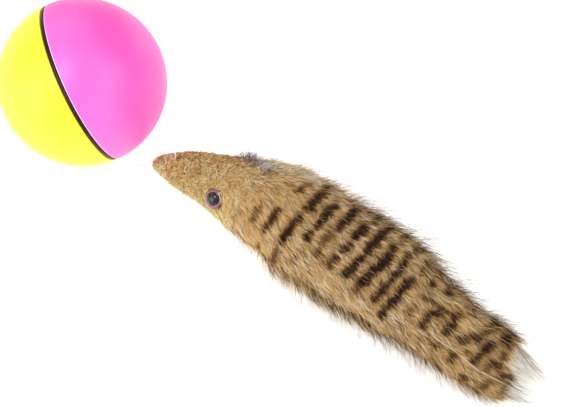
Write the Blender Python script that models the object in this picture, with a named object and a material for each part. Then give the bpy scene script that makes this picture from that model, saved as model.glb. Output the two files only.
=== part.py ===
"""Ball and mouse cat toy: a motor ball that rolls about and drags a furry mouse behind it on a short line.

The toy rests on Z = 0. X runs from the ball to the mouse's tail, and the origin is at the bottom, midway
between the ball's far side and the tail's end. Everything is in metres.
"""

import math

import bmesh
import bpy
from mathutils import Matrix, Vector

# The ball's two shells and the black ring between them
ball_diameter = 0.082
shell_wall = 0.0018
fit_gap = 0.0003
pole_boss_radius = 0.004
pole_boss_length = 0.0046
bead_width = 0.0015
bead_sink = 0.0003
collar_wall = 0.0012
collar_reach = 0.0045
collar_gap = 0.0006
pole_turn_degrees = 50.0
pole_rise_degrees = 18.0
hang_degrees = 200.1
ball_sides = 32
ball_bands = 8

# The bayonet that holds the yellow half on the ring
lug_count = 3
lug_degrees = 8.0
lug_height = 0.0012
lug_depth = 0.0017
lug_drop = 0.0018
twist_degrees = 25.0
lug_play_degrees = 1.0

# The toothed wheels, all of one kind
gear_module = 0.0005
pinion_teeth = 8
wheel_teeth = 24
gear_width = 0.0018
gear_spacing = 0.0006
addendum_share = 0.7
dedendum_share = 1.25
root_thickness_share = 1.4
pitch_thickness_share = 1.0
tip_thickness_share = 0.5
second_idler_degrees = -84.3
first_idler_degrees = -138.5
motor_degrees = 156.0
pin_radius = 0.00075
pin_play = 0.00025
pin_seat = 0.001

# The axle that the motor turns the ball with, and the pin at the other pole
axle_radius = 0.002
axle_flat_depth = 0.0006
axle_play = 0.0003
axle_seat = 0.0034
idle_pin_radius = 0.0015
idle_pin_seat = 0.0024
idle_pin_reach = 0.0034

# The motor
can_width = 0.020
can_height = 0.015
can_length = 0.022
can_wall = 0.0008
can_nose_radius = 0.003
can_nose_length = 0.0012
end_bell_length = 0.003
end_bell_seat = 0.0015
shaft_radius = 0.00075
shaft_play = 0.0003
armature_radius = 0.0055
armature_length = 0.013
terminal_width = 0.0024
terminal_thickness = 0.0005
terminal_length = 0.0026
terminal_spread = 0.0055

# The battery cell and its contacts
cell_diameter = 0.0145
cell_length = 0.0505
cell_button_radius = 0.00275
cell_button_length = 0.001
cell_offset = 0.0124
cell_degrees = 133.4
contact_thickness = 0.0005
contact_radius = 0.0055
spring_length = 0.0035
spring_radius = 0.0042
spring_wire_radius = 0.0003
spring_turns = 3
turn_steps = 10

# The frame that carries the motor, the cell and the gears, and its covers
case_wall = 0.0012
case_gap = 0.00125
plate_thickness = 0.0016
lid_gap = 0.0038
lid_roof = 0.0014
lid_headroom = 0.0004
bearing_wall = 0.0018
bearing_length = 0.003
arm_radius = 0.004
arm_thickness = 0.003
web_radius = 0.004
door_gap_degrees = 3.0
post_radius = 0.0022
post_depth = 0.0038
screw_radius = 0.0008
screw_head_radius = 0.0017
screw_head_height = 0.0012
screw_slot_width = 0.0005
screw_slot_depth = 0.0005
first_screw_degrees = -23.6
third_screw_degrees = 27.8

# The slide switch and the wires
switch_width = 0.005
switch_length = 0.009
switch_depth = 0.0036
switch_height = 0.004
slot_width = 0.0024
slot_length = 0.0054
slot_depth = 0.0022
knob_width = 0.0016
knob_length = 0.0026
knob_reach = 0.0015
wire_radius = 0.0005

# The mouse: a plush head, a fur body and a fur tail, each a sewn skin over its stuffing
nose_reach = 0.0415
mouse_length = 0.228
head_length = 0.0655
tail_length = 0.0765
skin_thickness = 0.0016
nose_height = 0.008
nose_side = -0.0023
neck_width = 0.0428
neck_height = 0.0376
neck_side = 0.004
neck_rise = 0.0186
neck_ball_width = 0.0345
neck_ball_height = 0.028
neck_rim_setback = 0.006
tail_root_width = 0.039
tail_root_height = 0.032
tail_side = -0.0012
tail_rise = 0.0158
tail_ball_width = 0.0376
tail_ball_height = 0.0280
tail_rim_setback = 0.007
tail_tip_height = 0.002
socket_gap = 0.0006
neck_inset_share = 5
tail_inset_share = 4
cap_end_share = 0.97
nose_taper_share = 0.22
seam_length_share = 0.6
belly_sink = 0.0005
belly_flat_degrees = 37.0
tail_lift = 0.0004
lean_degrees = 31.0
seam_slot_width = 0.001
form_sides = 20
cap_steps = 5
cut_overrun = 0.002

# Share of the head's length, then of the neck's half width and half height
head_shares = (
    (0.011, 0.12, 0.116),
    (0.041, 0.222, 0.213),
    (0.096, 0.305, 0.30),
    (0.195, 0.416, 0.373),
    (0.298, 0.509, 0.474),
    (0.40, 0.555, 0.571),
    (0.502, 0.62, 0.668),
    (0.606, 0.685, 0.74),
    (0.704, 0.759, 0.795),
    (0.80, 0.84, 0.85),
)
# Share of the length between the pivots, of the neck's half width and height, and of its sideways bow
body_shares = (
    (0.015, 1.01, 1.005, 1.0),
    (0.064, 1.061, 1.026, 1.05),
    (0.208, 1.121, 1.065, 0.75),
    (0.348, 1.121, 1.065, 0.60),
    (0.481, 1.112, 1.065, 0.45),
    (0.615, 1.121, 1.065, 0.40),
    (0.749, 1.079, 1.011, 0.42),
    (0.877, 1.037, 0.957, 0.25),
    (0.967, 0.934, 0.866, 0.0),
)
# Share of the tail's length, of its root's half width and half height, and of its root's half width sideways
tail_shares = (
    (0.0, 1.0, 0.95, -0.05),
    (0.144, 0.93, 0.906, -0.075),
    (0.29, 0.93, 0.83, -0.15),
    (0.43, 0.935, 0.76, -0.16),
    (0.575, 0.90, 0.66, -0.16),
    (0.71, 0.72, 0.54, -0.15),
    (0.85, 0.42, 0.35, -0.12),
    (0.95, 0.2, 0.17, -0.06),
)

# The eyes and the line's knot
eye_setback = 0.02253
eye_degrees = 60.0
eye_radius = 0.0053
eye_rim = 0.0008
eye_dome = 0.0018
pupil_radius = 0.0031
pupil_dome = 0.0016
pupil_seat = 0.0006
pupil_dome_shares = ((0.8, 0.6), (0.4, 0.93))
eye_sides = 18
eye_shank_radius = 0.0013
eye_shank_length = 0.004
washer_radius = 0.0032
washer_thickness = 0.0008
washer_depth = 0.0034
dimple_along_share = 0.191
dimple_degrees = -8.0
dimple_radius = 0.0014
knot_radius = 0.0007
line_diameter = 0.0004
line_step = 0.001
# The line's route from the ring to the knot, chosen by hand
line_route = (
    (-0.08715, -0.01047, 0.01207),
    (-0.08583, -0.01098, 0.01066),
    (-0.0823, -0.0110, 0.0084),
    (-0.0765, -0.0066, 0.0068),
    (-0.0727, 0.0002, 0.0074),
    (-0.0699, 0.0055, 0.0105),
    (-0.0662, 0.0064, 0.0148),
    (-0.0625, 0.0030, 0.0176),
    (-0.0608, 0.0005, 0.0171),
)

# What follows from the sizes above
ball_radius = ball_diameter / 2
inner_radius = ball_radius - shell_wall
toy_length = ball_radius + nose_reach + mouse_length
ball_centre = Vector((ball_radius - toy_length / 2, 0.0, ball_radius))
nose_x = ball_centre.x + nose_reach
neck_x = nose_x + head_length
tail_end_x = nose_x + mouse_length
tail_x = tail_end_x - tail_length
shell_edge = bead_width / 2 + fit_gap
collar_radius = math.sqrt(inner_radius**2 - collar_reach**2) - collar_gap
gear_distance = gear_module * (pinion_teeth + wheel_teeth) / 2
wheel_tip_radius = gear_module * (wheel_teeth / 2 + addendum_share)
gear_stack = 3 * gear_width + 2 * gear_spacing + 2 * lid_headroom + lid_roof
plate_top = inner_radius - pole_boss_length - lid_gap - gear_stack
motor_layer = plate_top + lid_headroom
middle_layer = motor_layer + gear_width + gear_spacing
output_layer = middle_layer + gear_width + gear_spacing
lid_ceiling = output_layer + gear_width + lid_headroom
lid_top = lid_ceiling + lid_roof
can_top = plate_top - plate_thickness - fit_gap
can_low = can_top - can_length
motor_low = can_low - end_bell_length
cell_radius = cell_diameter / 2
cell_cavity_radius = cell_radius + fit_gap
cell_tube_radius = cell_cavity_radius + case_wall
case_low = math.sqrt((inner_radius - case_gap) ** 2 - (cell_offset + cell_tube_radius) ** 2)
cell_low = -case_low + case_wall + fit_gap + spring_length + fit_gap
cell_high = cell_low + cell_length
case_high = cell_high + fit_gap + contact_thickness + fit_gap + case_wall


def polar(distance, degrees):
    angle = math.radians(degrees)
    return Vector((distance * math.cos(angle), distance * math.sin(angle), 0.0))


output_place = Vector((0.0, 0.0, 0.0))
second_idler_place = output_place + polar(gear_distance, second_idler_degrees)
first_idler_place = second_idler_place + polar(gear_distance, first_idler_degrees)
motor_place = first_idler_place + polar(gear_distance, motor_degrees)
cell_place = polar(cell_offset, cell_degrees)
first_screw_place = second_idler_place + polar(
    wheel_tip_radius + case_wall + post_radius, first_screw_degrees
)
second_screw_place = motor_place + Vector(
    (
        post_radius + case_wall - can_width / 2,
        can_height / 2 + case_wall + screw_radius + fit_gap,
        0.0,
    )
)
third_screw_place = output_place + polar(
    wheel_tip_radius + case_wall + post_radius, third_screw_degrees
)
screw_places = (first_screw_place, second_screw_place, third_screw_place)


# Making meshes


def clear_scene():
    for item in list(bpy.data.objects):
        bpy.data.objects.remove(item)


def material(name, colour, roughness, metallic=0.0):
    made = bpy.data.materials.new(name)
    made.use_nodes = True
    shader = made.node_tree.nodes["Principled BSDF"]
    shader.inputs["Base Color"].default_value = (*colour, 1.0)
    shader.inputs["Roughness"].default_value = roughness
    shader.inputs["Metallic"].default_value = metallic
    made.diffuse_color = (*colour, 1.0)
    return made


def piece_from(name, work):
    """Makes an object of a bmesh, with its faces pointing out."""
    bmesh.ops.recalc_face_normals(work, faces=work.faces)
    mesh = bpy.data.meshes.new(name)
    work.to_mesh(mesh)
    work.free()
    piece = bpy.data.objects.new(name, mesh)
    bpy.context.scene.collection.objects.link(piece)
    return piece


def lofted(name, rings, first_pole, last_pole):
    """A closed skin through rings of points, pulled together at a pole at each end."""
    work = bmesh.new()
    rows = [[work.verts.new(point) for point in ring] for ring in rings]
    ends = work.verts.new(first_pole), work.verts.new(last_pole)
    count = len(rings[0])
    for place in range(count):
        after = (place + 1) % count
        work.faces.new((ends[0], rows[0][place], rows[0][after]))
        work.faces.new((ends[1], rows[-1][after], rows[-1][place]))
        for near, far in zip(rows, rows[1:]):
            work.faces.new((near[place], far[place], far[after], near[after]))
    bmesh.ops.triangulate(work, faces=work.faces)
    return piece_from(name, work)


def turned(name, profile, sides, closed=False):
    """A profile of (radius, height) turned about Z: a closed ring, or a solid that starts and ends on Z."""
    work = bmesh.new()
    turns = [math.tau * side / sides for side in range(sides)]
    rows = []
    for radius, height in profile:
        if radius == 0:
            rows.append([work.verts.new((0.0, 0.0, height))] * sides)
        else:
            rows.append(
                [
                    work.verts.new(
                        (radius * math.cos(turn), radius * math.sin(turn), height)
                    )
                    for turn in turns
                ]
            )
    pairs = list(zip(rows, rows[1:]))
    if closed:
        pairs.append((rows[-1], rows[0]))
    for near, far in pairs:
        for side in range(sides):
            after = (side + 1) % sides
            corners = []
            for corner in (near[side], far[side], far[after], near[after]):
                if corner not in corners:
                    corners.append(corner)
            work.faces.new(corners)
    return piece_from(name, work)


def cylinder(name, radius, low, high, place=Vector(), sides=24):
    piece = turned(name, [(0, low), (radius, low), (radius, high), (0, high)], sides)
    piece.data.transform(Matrix.Translation(place))
    return piece


def prism(name, outline, low, high):
    """An outline of (x, y) points drawn up from low to high."""
    work = bmesh.new()
    bottom = [work.verts.new((x, y, low)) for x, y in outline]
    top = [work.verts.new((x, y, high)) for x, y in outline]
    work.faces.new(bottom)
    work.faces.new(top)
    for place in range(len(outline)):
        after = (place + 1) % len(outline)
        work.faces.new((bottom[place], bottom[after], top[after], top[place]))
    return piece_from(name, work)


def block(name, centre, width, depth, height):
    half_width, half_depth = width / 2, depth / 2
    corners = (
        (centre.x - half_width, centre.y - half_depth),
        (centre.x + half_width, centre.y - half_depth),
        (centre.x + half_width, centre.y + half_depth),
        (centre.x - half_width, centre.y + half_depth),
    )
    return prism(name, corners, centre.z - height / 2, centre.z + height / 2)


def sector(name, inner, outer, low, high, start_degrees, end_degrees, steps=4):
    """A piece of a flat ring between two angles."""
    turns = [
        start_degrees + (end_degrees - start_degrees) * step / steps
        for step in range(steps + 1)
    ]
    outline = [polar(outer, turn).to_2d() for turn in turns]
    outline += [polar(inner, turn).to_2d() for turn in reversed(turns)]
    return prism(name, outline, low, high)


def round_hull(circles, sides=32):
    """The outline of a string pulled tight round circles of (place, radius)."""
    points = sorted(
        {
            tuple(place.to_2d() + polar(radius, 360 * side / sides).to_2d())
            for place, radius in circles
            for side in range(sides)
        }
    )

    def half(ordered):
        chain = []
        for point in ordered:
            while len(chain) > 1 and turns_right(chain[-2], chain[-1], point):
                chain.pop()
            chain.append(point)
        return chain[:-1]

    return half(points) + half(points[::-1])


def turns_right(first, middle, last):
    """Whether the way over three points turns right or runs straight."""
    along = Vector(middle) - Vector(first)
    return along.cross(Vector(last) - Vector(first)) <= 0


def combine(piece, other, operation):
    """Joins, cuts or trims a piece with another, which is used up."""
    step = piece.modifiers.new("step", "BOOLEAN")
    step.operation = operation
    step.object = other
    view = bpy.context.evaluated_depsgraph_get()
    result = bpy.data.meshes.new_from_object(piece.evaluated_get(view))
    piece.modifiers.clear()
    piece.data = result
    bpy.data.objects.remove(other)
    return piece


def join(piece, *others):
    for other in others:
        combine(piece, other, "UNION")
    return piece


def cut(piece, *others):
    for other in others:
        combine(piece, other, "DIFFERENCE")
    return piece


def empty(name, place, parent=None, turn=None):
    """A point that pieces hang on: a body's frame or pivot."""
    point = bpy.data.objects.new(name, None)
    bpy.context.scene.collection.objects.link(point)
    point.parent = parent
    point.location = place
    if turn is not None:
        point.rotation_mode = "QUATERNION"
        point.rotation_quaternion = turn
    return point


def finish(piece, looks, parent=None, place=None, smooth=40.0):
    """Gives a piece its material, shading and place."""
    piece.data.materials.clear()
    piece.data.materials.append(looks)
    piece.data.shade_smooth()
    piece.data.set_sharp_from_angle(angle=math.radians(smooth))
    piece.parent = parent
    if place is not None:
        piece.location = place
    return piece


# The ball


def half_shell(name):
    """One half of the ball round +Z, open at the seam, with a boss inside its pole."""
    edge = math.asin(shell_edge / ball_radius)
    inner_edge = math.asin(shell_edge / inner_radius)
    boss_rise = math.acos(pole_boss_radius / inner_radius)
    profile = [
        arc_point(ball_radius, math.pi / 2 + (edge - math.pi / 2) * band / ball_bands)
        for band in range(1, ball_bands + 1)
    ]
    profile += [
        arc_point(inner_radius, inner_edge + (boss_rise - inner_edge) * band / ball_bands)
        for band in range(ball_bands + 1)
    ]
    boss_end = inner_radius - pole_boss_length
    profile = [(0, ball_radius), *profile, (pole_boss_radius, boss_end), (0, boss_end)]
    return turned(name, profile, ball_sides)


def arc_point(radius, rise):
    return radius * math.cos(rise), radius * math.sin(rise)


def d_bar(name, radius, low, high):
    """A round bar with a flat along it."""
    flat = axle_radius - axle_flat_depth + (radius - axle_radius)
    bar = cylinder(name, radius, low, high, sides=20)
    centre = Vector((flat + radius, 0.0, (low + high) / 2))
    height = high - low + cut_overrun
    return cut(bar, block("flat", centre, 2 * radius, 4 * radius, height))


def magenta_shell():
    shell = half_shell("shell_magenta")
    low = inner_radius - pole_boss_length - cut_overrun
    high = axle_top() + axle_play
    return cut(shell, d_bar("bore", axle_radius + axle_play, low, high))


def axle_top():
    return inner_radius - pole_boss_length + axle_seat


def yellow_shell():
    """The other half, upside down, with the bayonet's lugs and a plain bore for the idle pin."""
    shell = half_shell("shell_yellow")
    shell.data.transform(Matrix.Rotation(math.pi, 4, "X"))
    outer = inner_radius + shell_wall / 2
    inner = collar_radius - lug_depth
    for start in lug_starts():
        lug = sector(
            "lug", inner, outer, -lug_drop - lug_height, -lug_drop, start, start + lug_degrees
        )
        join(shell, lug)
    boss_end = -(inner_radius - pole_boss_length)
    bore_end = boss_end - idle_pin_reach - fit_gap
    bore = cylinder("bore", idle_pin_radius + axle_play, bore_end, boss_end + cut_overrun)
    return cut(shell, bore)


def lug_starts():
    return [360 / lug_count * place for place in range(lug_count)]


def seam_ring():
    """The black ring: a bead that shows between the halves, on a collar that both halves slip over."""
    half_bead = bead_width / 2
    crown = ball_radius - bead_sink
    shoulder = crown - half_bead
    inner = collar_radius - collar_wall
    profile = (
        (crown, 0.0),
        (crown - half_bead * (1 - math.sqrt(3) / 2), half_bead / 2),
        (shoulder, half_bead),
        (collar_radius, half_bead),
        (collar_radius, collar_reach),
        (inner, collar_reach),
        (inner, -collar_reach),
        (collar_radius, -collar_reach),
        (collar_radius, -half_bead),
        (shoulder, -half_bead),
        (crown - half_bead * (1 - math.sqrt(3) / 2), -half_bead / 2),
    )
    ring = turned("seam_ring", profile, ball_sides, closed=True)
    top = -lug_drop + fit_gap
    bottom = -lug_drop - lug_height - fit_gap
    near, far = inner - cut_overrun, collar_radius + fit_gap / 2
    for start in lug_starts():
        open_start = start + twist_degrees - lug_play_degrees
        open_end = start + twist_degrees + lug_degrees + lug_play_degrees
        run_start = start - lug_play_degrees
        way_in = sector(
            "way_in", near, far, -collar_reach - cut_overrun, top, open_start, open_end
        )
        run = sector("run", near, far, bottom, top, run_start, open_end, 8)
        cut(ring, join(way_in, run))
    return ring


def drive_axle():
    return d_bar("drive_axle", axle_radius, output_layer, axle_top())


# The gears


def gear_outline(teeth, first_degrees=0.0):
    """Each tooth has a root, a pitch and a tip width, and straight flanks between them."""
    pitch_radius = gear_module * teeth / 2
    corners = (
        (-dedendum_share, -root_thickness_share),
        (0.0, -pitch_thickness_share),
        (addendum_share, -tip_thickness_share),
        (addendum_share, tip_thickness_share),
        (0.0, pitch_thickness_share),
        (-dedendum_share, root_thickness_share),
    )
    outline = []
    for tooth in range(teeth):
        middle = first_degrees + 360 * tooth / teeth
        for depth_share, side_share in corners:
            radius = pitch_radius + gear_module * depth_share
            side = math.degrees(gear_module * side_share / 2 / radius)
            outline.append(polar(radius, middle + side).to_2d())
    return outline


def meshing_degrees(teeth, first_degrees, other_teeth, line_degrees):
    """Where the second gear's first tooth stands, to fit the first gear along the line between them."""
    phase = (line_degrees - first_degrees) * teeth
    return line_degrees + 180 - (180 - phase) / other_teeth


def gear_degrees():
    """The first tooth of each toothed ring, from the ball's gear to the motor's pinion."""
    output = 0.0
    second_pinion = meshing_degrees(wheel_teeth, output, pinion_teeth, second_idler_degrees)
    second_wheel = 0.0
    first_pinion = meshing_degrees(
        wheel_teeth, second_wheel, pinion_teeth, first_idler_degrees
    )
    first_wheel = 0.0
    motor_pinion = meshing_degrees(wheel_teeth, first_wheel, pinion_teeth, motor_degrees)
    return output, second_pinion, second_wheel, first_pinion, first_wheel, motor_pinion


def compound_gear(name, wheel_low, wheel_degrees, pinion_degrees):
    """A wheel with a pinion on top of it, bored for its pin."""
    wheel_high = wheel_low + gear_width
    pinion_high = wheel_high + gear_spacing + gear_width
    gear = prism(name, gear_outline(wheel_teeth, wheel_degrees), wheel_low, wheel_high)
    pinion_low = wheel_high - gear_width / 2
    outline = gear_outline(pinion_teeth, pinion_degrees)
    join(gear, prism("pinion", outline, pinion_low, pinion_high))
    low, high = wheel_low - cut_overrun, pinion_high + cut_overrun
    return cut(gear, cylinder("bore", pin_radius + pin_play, low, high, sides=12))


def output_gear():
    gear = prism(
        "output_gear",
        gear_outline(wheel_teeth, gear_degrees()[0]),
        output_layer,
        output_layer + gear_width,
    )
    low, high = output_layer - cut_overrun, lid_top
    return cut(gear, d_bar("bore", axle_radius + fit_gap, low, high))


def motor_pinion():
    low, high = motor_layer, motor_layer + gear_width
    gear = prism("motor_pinion", gear_outline(pinion_teeth, gear_degrees()[5]), low, high)
    bore = cylinder(
        "bore", shaft_radius + pin_play, low - cut_overrun, high + cut_overrun, sides=12
    )
    return cut(gear, bore)


def idler_pin(name):
    low = plate_top - pin_seat + fit_gap
    high = lid_ceiling + lid_roof / 2
    return cylinder(name, pin_radius, low, high, sides=12)


# The motor, round its own shaft


def can_outline(grow):
    """A circle with its top and bottom cut flat."""
    radius = can_width / 2 + grow
    flat = can_height / 2 + grow
    start = math.degrees(math.asin(flat / radius))
    steps = 8
    right = [
        polar(radius, -start + 2 * start * step / steps).to_2d() for step in range(steps + 1)
    ]
    left = [-point for point in right]
    return right + left


def motor_can():
    can = prism("motor_can", can_outline(0.0), can_low, can_top)
    nose_top = can_top + can_nose_length
    join(can, cylinder("nose", can_nose_radius, can_top - can_wall, nose_top))
    hollow = prism(
        "hollow", can_outline(-can_wall), can_low - cut_overrun, can_top - can_wall
    )
    bore_low = can_top - can_wall - cut_overrun
    bore = cylinder(
        "bore", shaft_radius + shaft_play, bore_low, nose_top + cut_overrun, sides=16
    )
    return cut(can, hollow, bore)


def motor_end_bell():
    """The plastic cap that closes the can, with a recess for the shaft's end and two terminals."""
    bell = prism("motor_end_bell", can_outline(0.0), motor_low, can_low - fit_gap)
    seat_top = can_low + end_bell_seat
    plug = prism(
        "plug", can_outline(-can_wall - fit_gap), can_low - end_bell_length / 2, seat_top
    )
    join(bell, plug)
    for side in (-1, 1):
        centre = Vector((side * terminal_spread, 0.0, motor_low - terminal_length / 2))
        height = terminal_length + end_bell_length
        join(bell, block("terminal", centre, terminal_width, terminal_thickness, height))
    bore_low = shaft_low() - fit_gap
    return cut(
        bell,
        cylinder("bore", shaft_radius + shaft_play, bore_low, seat_top + cut_overrun, sides=16),
    )


def shaft_low():
    return can_low - end_bell_length / 2


def motor_armature():
    """The wound armature on its shaft."""
    shaft_high = motor_layer + gear_width
    armature_low = can_low + end_bell_seat + fit_gap + shaft_radius
    armature_high = armature_low + armature_length
    profile = (
        (0, shaft_low()),
        (shaft_radius, shaft_low()),
        (shaft_radius, armature_low),
        (armature_radius, armature_low),
        (armature_radius, armature_high),
        (shaft_radius, armature_high),
        (shaft_radius, shaft_high),
        (0, shaft_high),
    )
    return turned("motor_armature", profile, 16)


# The battery


def battery_cell():
    button = cell_button_radius
    shoulder = cell_high - cell_button_length
    profile = (
        (0, cell_low),
        (cell_radius, cell_low),
        (cell_radius, shoulder),
        (button, shoulder),
        (button, cell_high),
        (0, cell_high),
    )
    return turned("battery_cell", profile, 24)


def battery_spring():
    """A short coil between the case's end and the cell, with its wire a tube along the helix."""
    low = -case_low + case_wall + fit_gap + spring_wire_radius
    climb = spring_length - 2 * spring_wire_radius
    steps = spring_turns * turn_steps
    points = []
    for step in range(steps + 1):
        turn = polar(spring_radius, 360 * step / turn_steps)
        points.append(turn + Vector((0.0, 0.0, low + climb * step / steps)))
    return tube("battery_spring", points, spring_wire_radius, 1)


def contact_plate():
    low = cell_high + fit_gap
    return cylinder("contact_plate", contact_radius, low, low + contact_thickness)


def tube(name, points, radius, resolution):
    """A wire or line along points, as a curve with a round bevel and closed ends."""
    curve = bpy.data.curves.new(name, "CURVE")
    curve.dimensions = "3D"
    curve.bevel_depth = radius
    curve.bevel_resolution = resolution
    curve.use_fill_caps = True
    spline = curve.splines.new("POLY")
    spline.points.add(len(points) - 1)
    for place, point in enumerate(points):
        spline.points[place].co = (*point, 1.0)
    piece = bpy.data.objects.new(name, curve)
    bpy.context.scene.collection.objects.link(piece)
    return piece


def smooth_route(points, step):
    """Points about a step apart on a smooth curve that passes through the points given."""
    points = [Vector(point) for point in points]
    points = [2 * points[0] - points[1], *points, 2 * points[-1] - points[-2]]
    route = []
    for before, start, end, after in zip(points, points[1:], points[2:], points[3:]):
        count = max(1, round((end - start).length / step))
        for place in range(count):
            share = place / count
            route.append(
                start
                + share * (end - before) / 2
                + share**2 * (before - 5 * start / 2 + 2 * end - after / 2)
                + share**3 * (-before + 3 * start - 3 * end + after) / 2
            )
    route.append(points[-2])
    return route


# The frame inside the ball


def gearbox_circles(grow):
    """What the gearbox has to reach round: the gears and the screws' posts."""
    around = fit_gap + grow
    circles = [
        (place, wheel_tip_radius + around)
        for place in (output_place, second_idler_place, first_idler_place)
    ]
    circles.append((motor_place, can_nose_radius + around))
    return circles


def case_body():
    """The moulded frame: a tube for the cell, a pocket for the motor, and the gearbox's floor."""
    floor_low = plate_top - plate_thickness
    case = cylinder("case_body", cell_tube_radius, -case_low, case_high, cell_place, 32)
    pocket_centre = Vector((motor_place.x, motor_place.y, (motor_low + plate_top) / 2))
    wall = 2 * (fit_gap + case_wall)
    pocket = block(
        "pocket", pocket_centre, can_width + wall, can_height + wall, plate_top - motor_low
    )
    web = prism(
        "web",
        round_hull(((cell_place, web_radius), (motor_place, web_radius))),
        motor_low,
        floor_low,
    )
    posts = [(place, post_radius) for place in screw_places]
    floor = prism(
        "floor", round_hull(gearbox_circles(case_wall) + posts), floor_low, plate_top
    )
    arm = prism(
        "arm",
        round_hull(((output_place, arm_radius), (cell_place, cell_tube_radius))),
        -case_low,
        arm_thickness - case_low,
    )
    join(case, pocket, web, floor, arm)
    for place in screw_places:
        post_low = floor_low - post_depth
        join(case, cylinder("post", post_radius, post_low, plate_top - fit_gap, place, 16))
    return cut(case, *case_hollows())


def case_hollows():
    """Room for the cell and its way in, the motor, the pins and the screws."""
    floor_low = plate_top - plate_thickness
    low, high = -case_low + case_wall, case_high - case_wall
    cell_room = cylinder("cell_room", cell_cavity_radius, low, high, cell_place, 32)
    outward = Matrix.Rotation(math.radians(cell_degrees), 4, "Z")
    mouth_place = Vector((cell_diameter, 0.0, (low + high) / 2))
    mouth = block("mouth", mouth_place, 2 * cell_diameter, 2 * cell_diameter, high - low)
    mouth.data.transform(Matrix.Translation(cell_place) @ outward)
    join(cell_room, mouth)
    motor_room = prism(
        "motor_room", can_outline(fit_gap), motor_low - cut_overrun, floor_low
    )
    motor_room.data.transform(Matrix.Translation(motor_place))
    nose_room = cylinder(
        "nose_room",
        can_nose_radius + fit_gap,
        floor_low - fit_gap,
        plate_top + cut_overrun,
        motor_place,
    )
    hollows = [cell_room, motor_room, nose_room]
    for place in (first_idler_place, second_idler_place):
        seat_low, seat_high = plate_top - pin_seat, plate_top + cut_overrun
        hollows.append(
            cylinder("seat", pin_radius + pin_play, seat_low, seat_high, place, 12)
        )
    for place in screw_places:
        hole_low = screw_low() - fit_gap
        hollows.append(
            cylinder(
                "hole", screw_radius + fit_gap, hole_low, plate_top + cut_overrun, place, 12
            )
        )
    pin_high = -case_low + idle_pin_seat + fit_gap
    hollows.append(
        cylinder(
            "pin_hole", idle_pin_radius + fit_gap, -case_low - cut_overrun, pin_high, sides=16
        )
    )
    return hollows


def case_lid():
    """The cover over the gears, with a bearing tube for the axle."""
    low = plate_top + fit_gap
    posts = [(place, post_radius) for place in screw_places]
    outline = round_hull(gearbox_circles(case_wall) + posts)
    lid = prism("case_lid", outline, low, lid_top)
    bearing_radius = axle_radius + axle_play + bearing_wall
    bearing_top = lid_top + bearing_length
    join(lid, cylinder("bearing", bearing_radius, lid_top - lid_roof / 2, bearing_top))
    inside = prism("inside", round_hull(gearbox_circles(0.0)), low - cut_overrun, lid_ceiling)
    cut(lid, inside)
    beside_cell = cell_tube_radius + fit_gap
    cell_top = case_high + fit_gap
    cut(lid, cylinder("cell", beside_cell, low - cut_overrun, cell_top, cell_place, 32))
    for place in screw_places:
        cut(
            lid,
            cylinder(
                "hole", screw_radius + fit_gap, low - cut_overrun, lid_top + cut_overrun, place, 12
            ),
        )
    for place in (first_idler_place, second_idler_place):
        seat_high = lid_ceiling + lid_roof / 2 + fit_gap
        seat_low = lid_ceiling - fit_gap
        cut(lid, cylinder("seat", pin_radius + pin_play, seat_low, seat_high, place, 12))
    bore_top = bearing_top + cut_overrun
    return cut(
        lid, cylinder("bore", axle_radius + axle_play, lid_ceiling - fit_gap, bore_top, sides=20)
    )


def battery_door():
    """The curved door over the cell, which is the missing half of its tube."""
    low = -case_low + case_wall + fit_gap
    high = case_high - case_wall - fit_gap
    half_turn = 90.0 - door_gap_degrees
    door = sector(
        "battery_door",
        cell_cavity_radius,
        cell_tube_radius,
        low,
        high,
        cell_degrees - half_turn,
        cell_degrees + half_turn,
        12,
    )
    door.data.transform(Matrix.Translation(cell_place))
    return door


def idle_pin():
    high = -case_low + idle_pin_seat
    low = -(inner_radius - pole_boss_length) - idle_pin_reach
    return cylinder("idle_pin", idle_pin_radius, low, high, sides=16)


def case_screw(name):
    """A small screw with a cross slot, standing on the lid."""
    under_head = lid_top + fit_gap
    profile = (
        (0, screw_low()),
        (screw_radius, screw_low()),
        (screw_radius, under_head),
        (screw_head_radius, under_head),
        (screw_head_radius, under_head + screw_head_height / 2),
        (screw_head_radius / 2, under_head + screw_head_height),
        (0, under_head + screw_head_height),
    )
    screw = turned(name, profile, 12)
    slot_place = Vector((0.0, 0.0, under_head + screw_head_height))
    length = screw_head_radius
    slots = block("slot", slot_place, length, screw_slot_width, 2 * screw_slot_depth)
    join(slots, block("slot", slot_place, screw_slot_width, length, 2 * screw_slot_depth))
    return cut(screw, slots)


def screw_low():
    return plate_top - plate_thickness - post_depth + case_wall


# The slide switch and the wires


def switch_face():
    """The pocket's outer face, which the switch sits on."""
    return motor_place.y - can_height / 2 - fit_gap - case_wall


def switch_body():
    middle = switch_face() - fit_gap - switch_depth / 2
    centre = Vector((motor_place.x, middle, switch_height))
    body = block("switch_body", centre, switch_width, switch_depth, switch_length)
    slot_middle = middle - switch_depth / 2 + slot_depth / 2 - cut_overrun / 2
    slot_place = Vector((motor_place.x, slot_middle, switch_height))
    return cut(
        body,
        block("slot", slot_place, slot_width, slot_depth + cut_overrun, slot_length),
    )


def switch_knob():
    """The knob at its off end, with three ridges for a fingertip."""
    outer = switch_face() - fit_gap - switch_depth
    inner = outer + slot_depth - fit_gap
    low = switch_height - slot_length / 2 + fit_gap
    depth = inner - outer + knob_reach
    centre = Vector((motor_place.x, inner - depth / 2, low + knob_length / 2))
    knob = block("switch_knob", centre, knob_width, depth, knob_length)
    for place in range(2):
        groove_z = low + knob_length * (place + 1) / 3
        groove_place = Vector((motor_place.x, inner - depth, groove_z))
        cut(
            knob,
            block("groove", groove_place, 2 * knob_width, fit_gap, knob_length / 6),
        )
    return knob


def terminal_place(side):
    drop = motor_low - terminal_length - end_bell_length / 2 - fit_gap - wire_radius
    return motor_place + Vector((side * terminal_spread, 0.0, drop))


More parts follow.
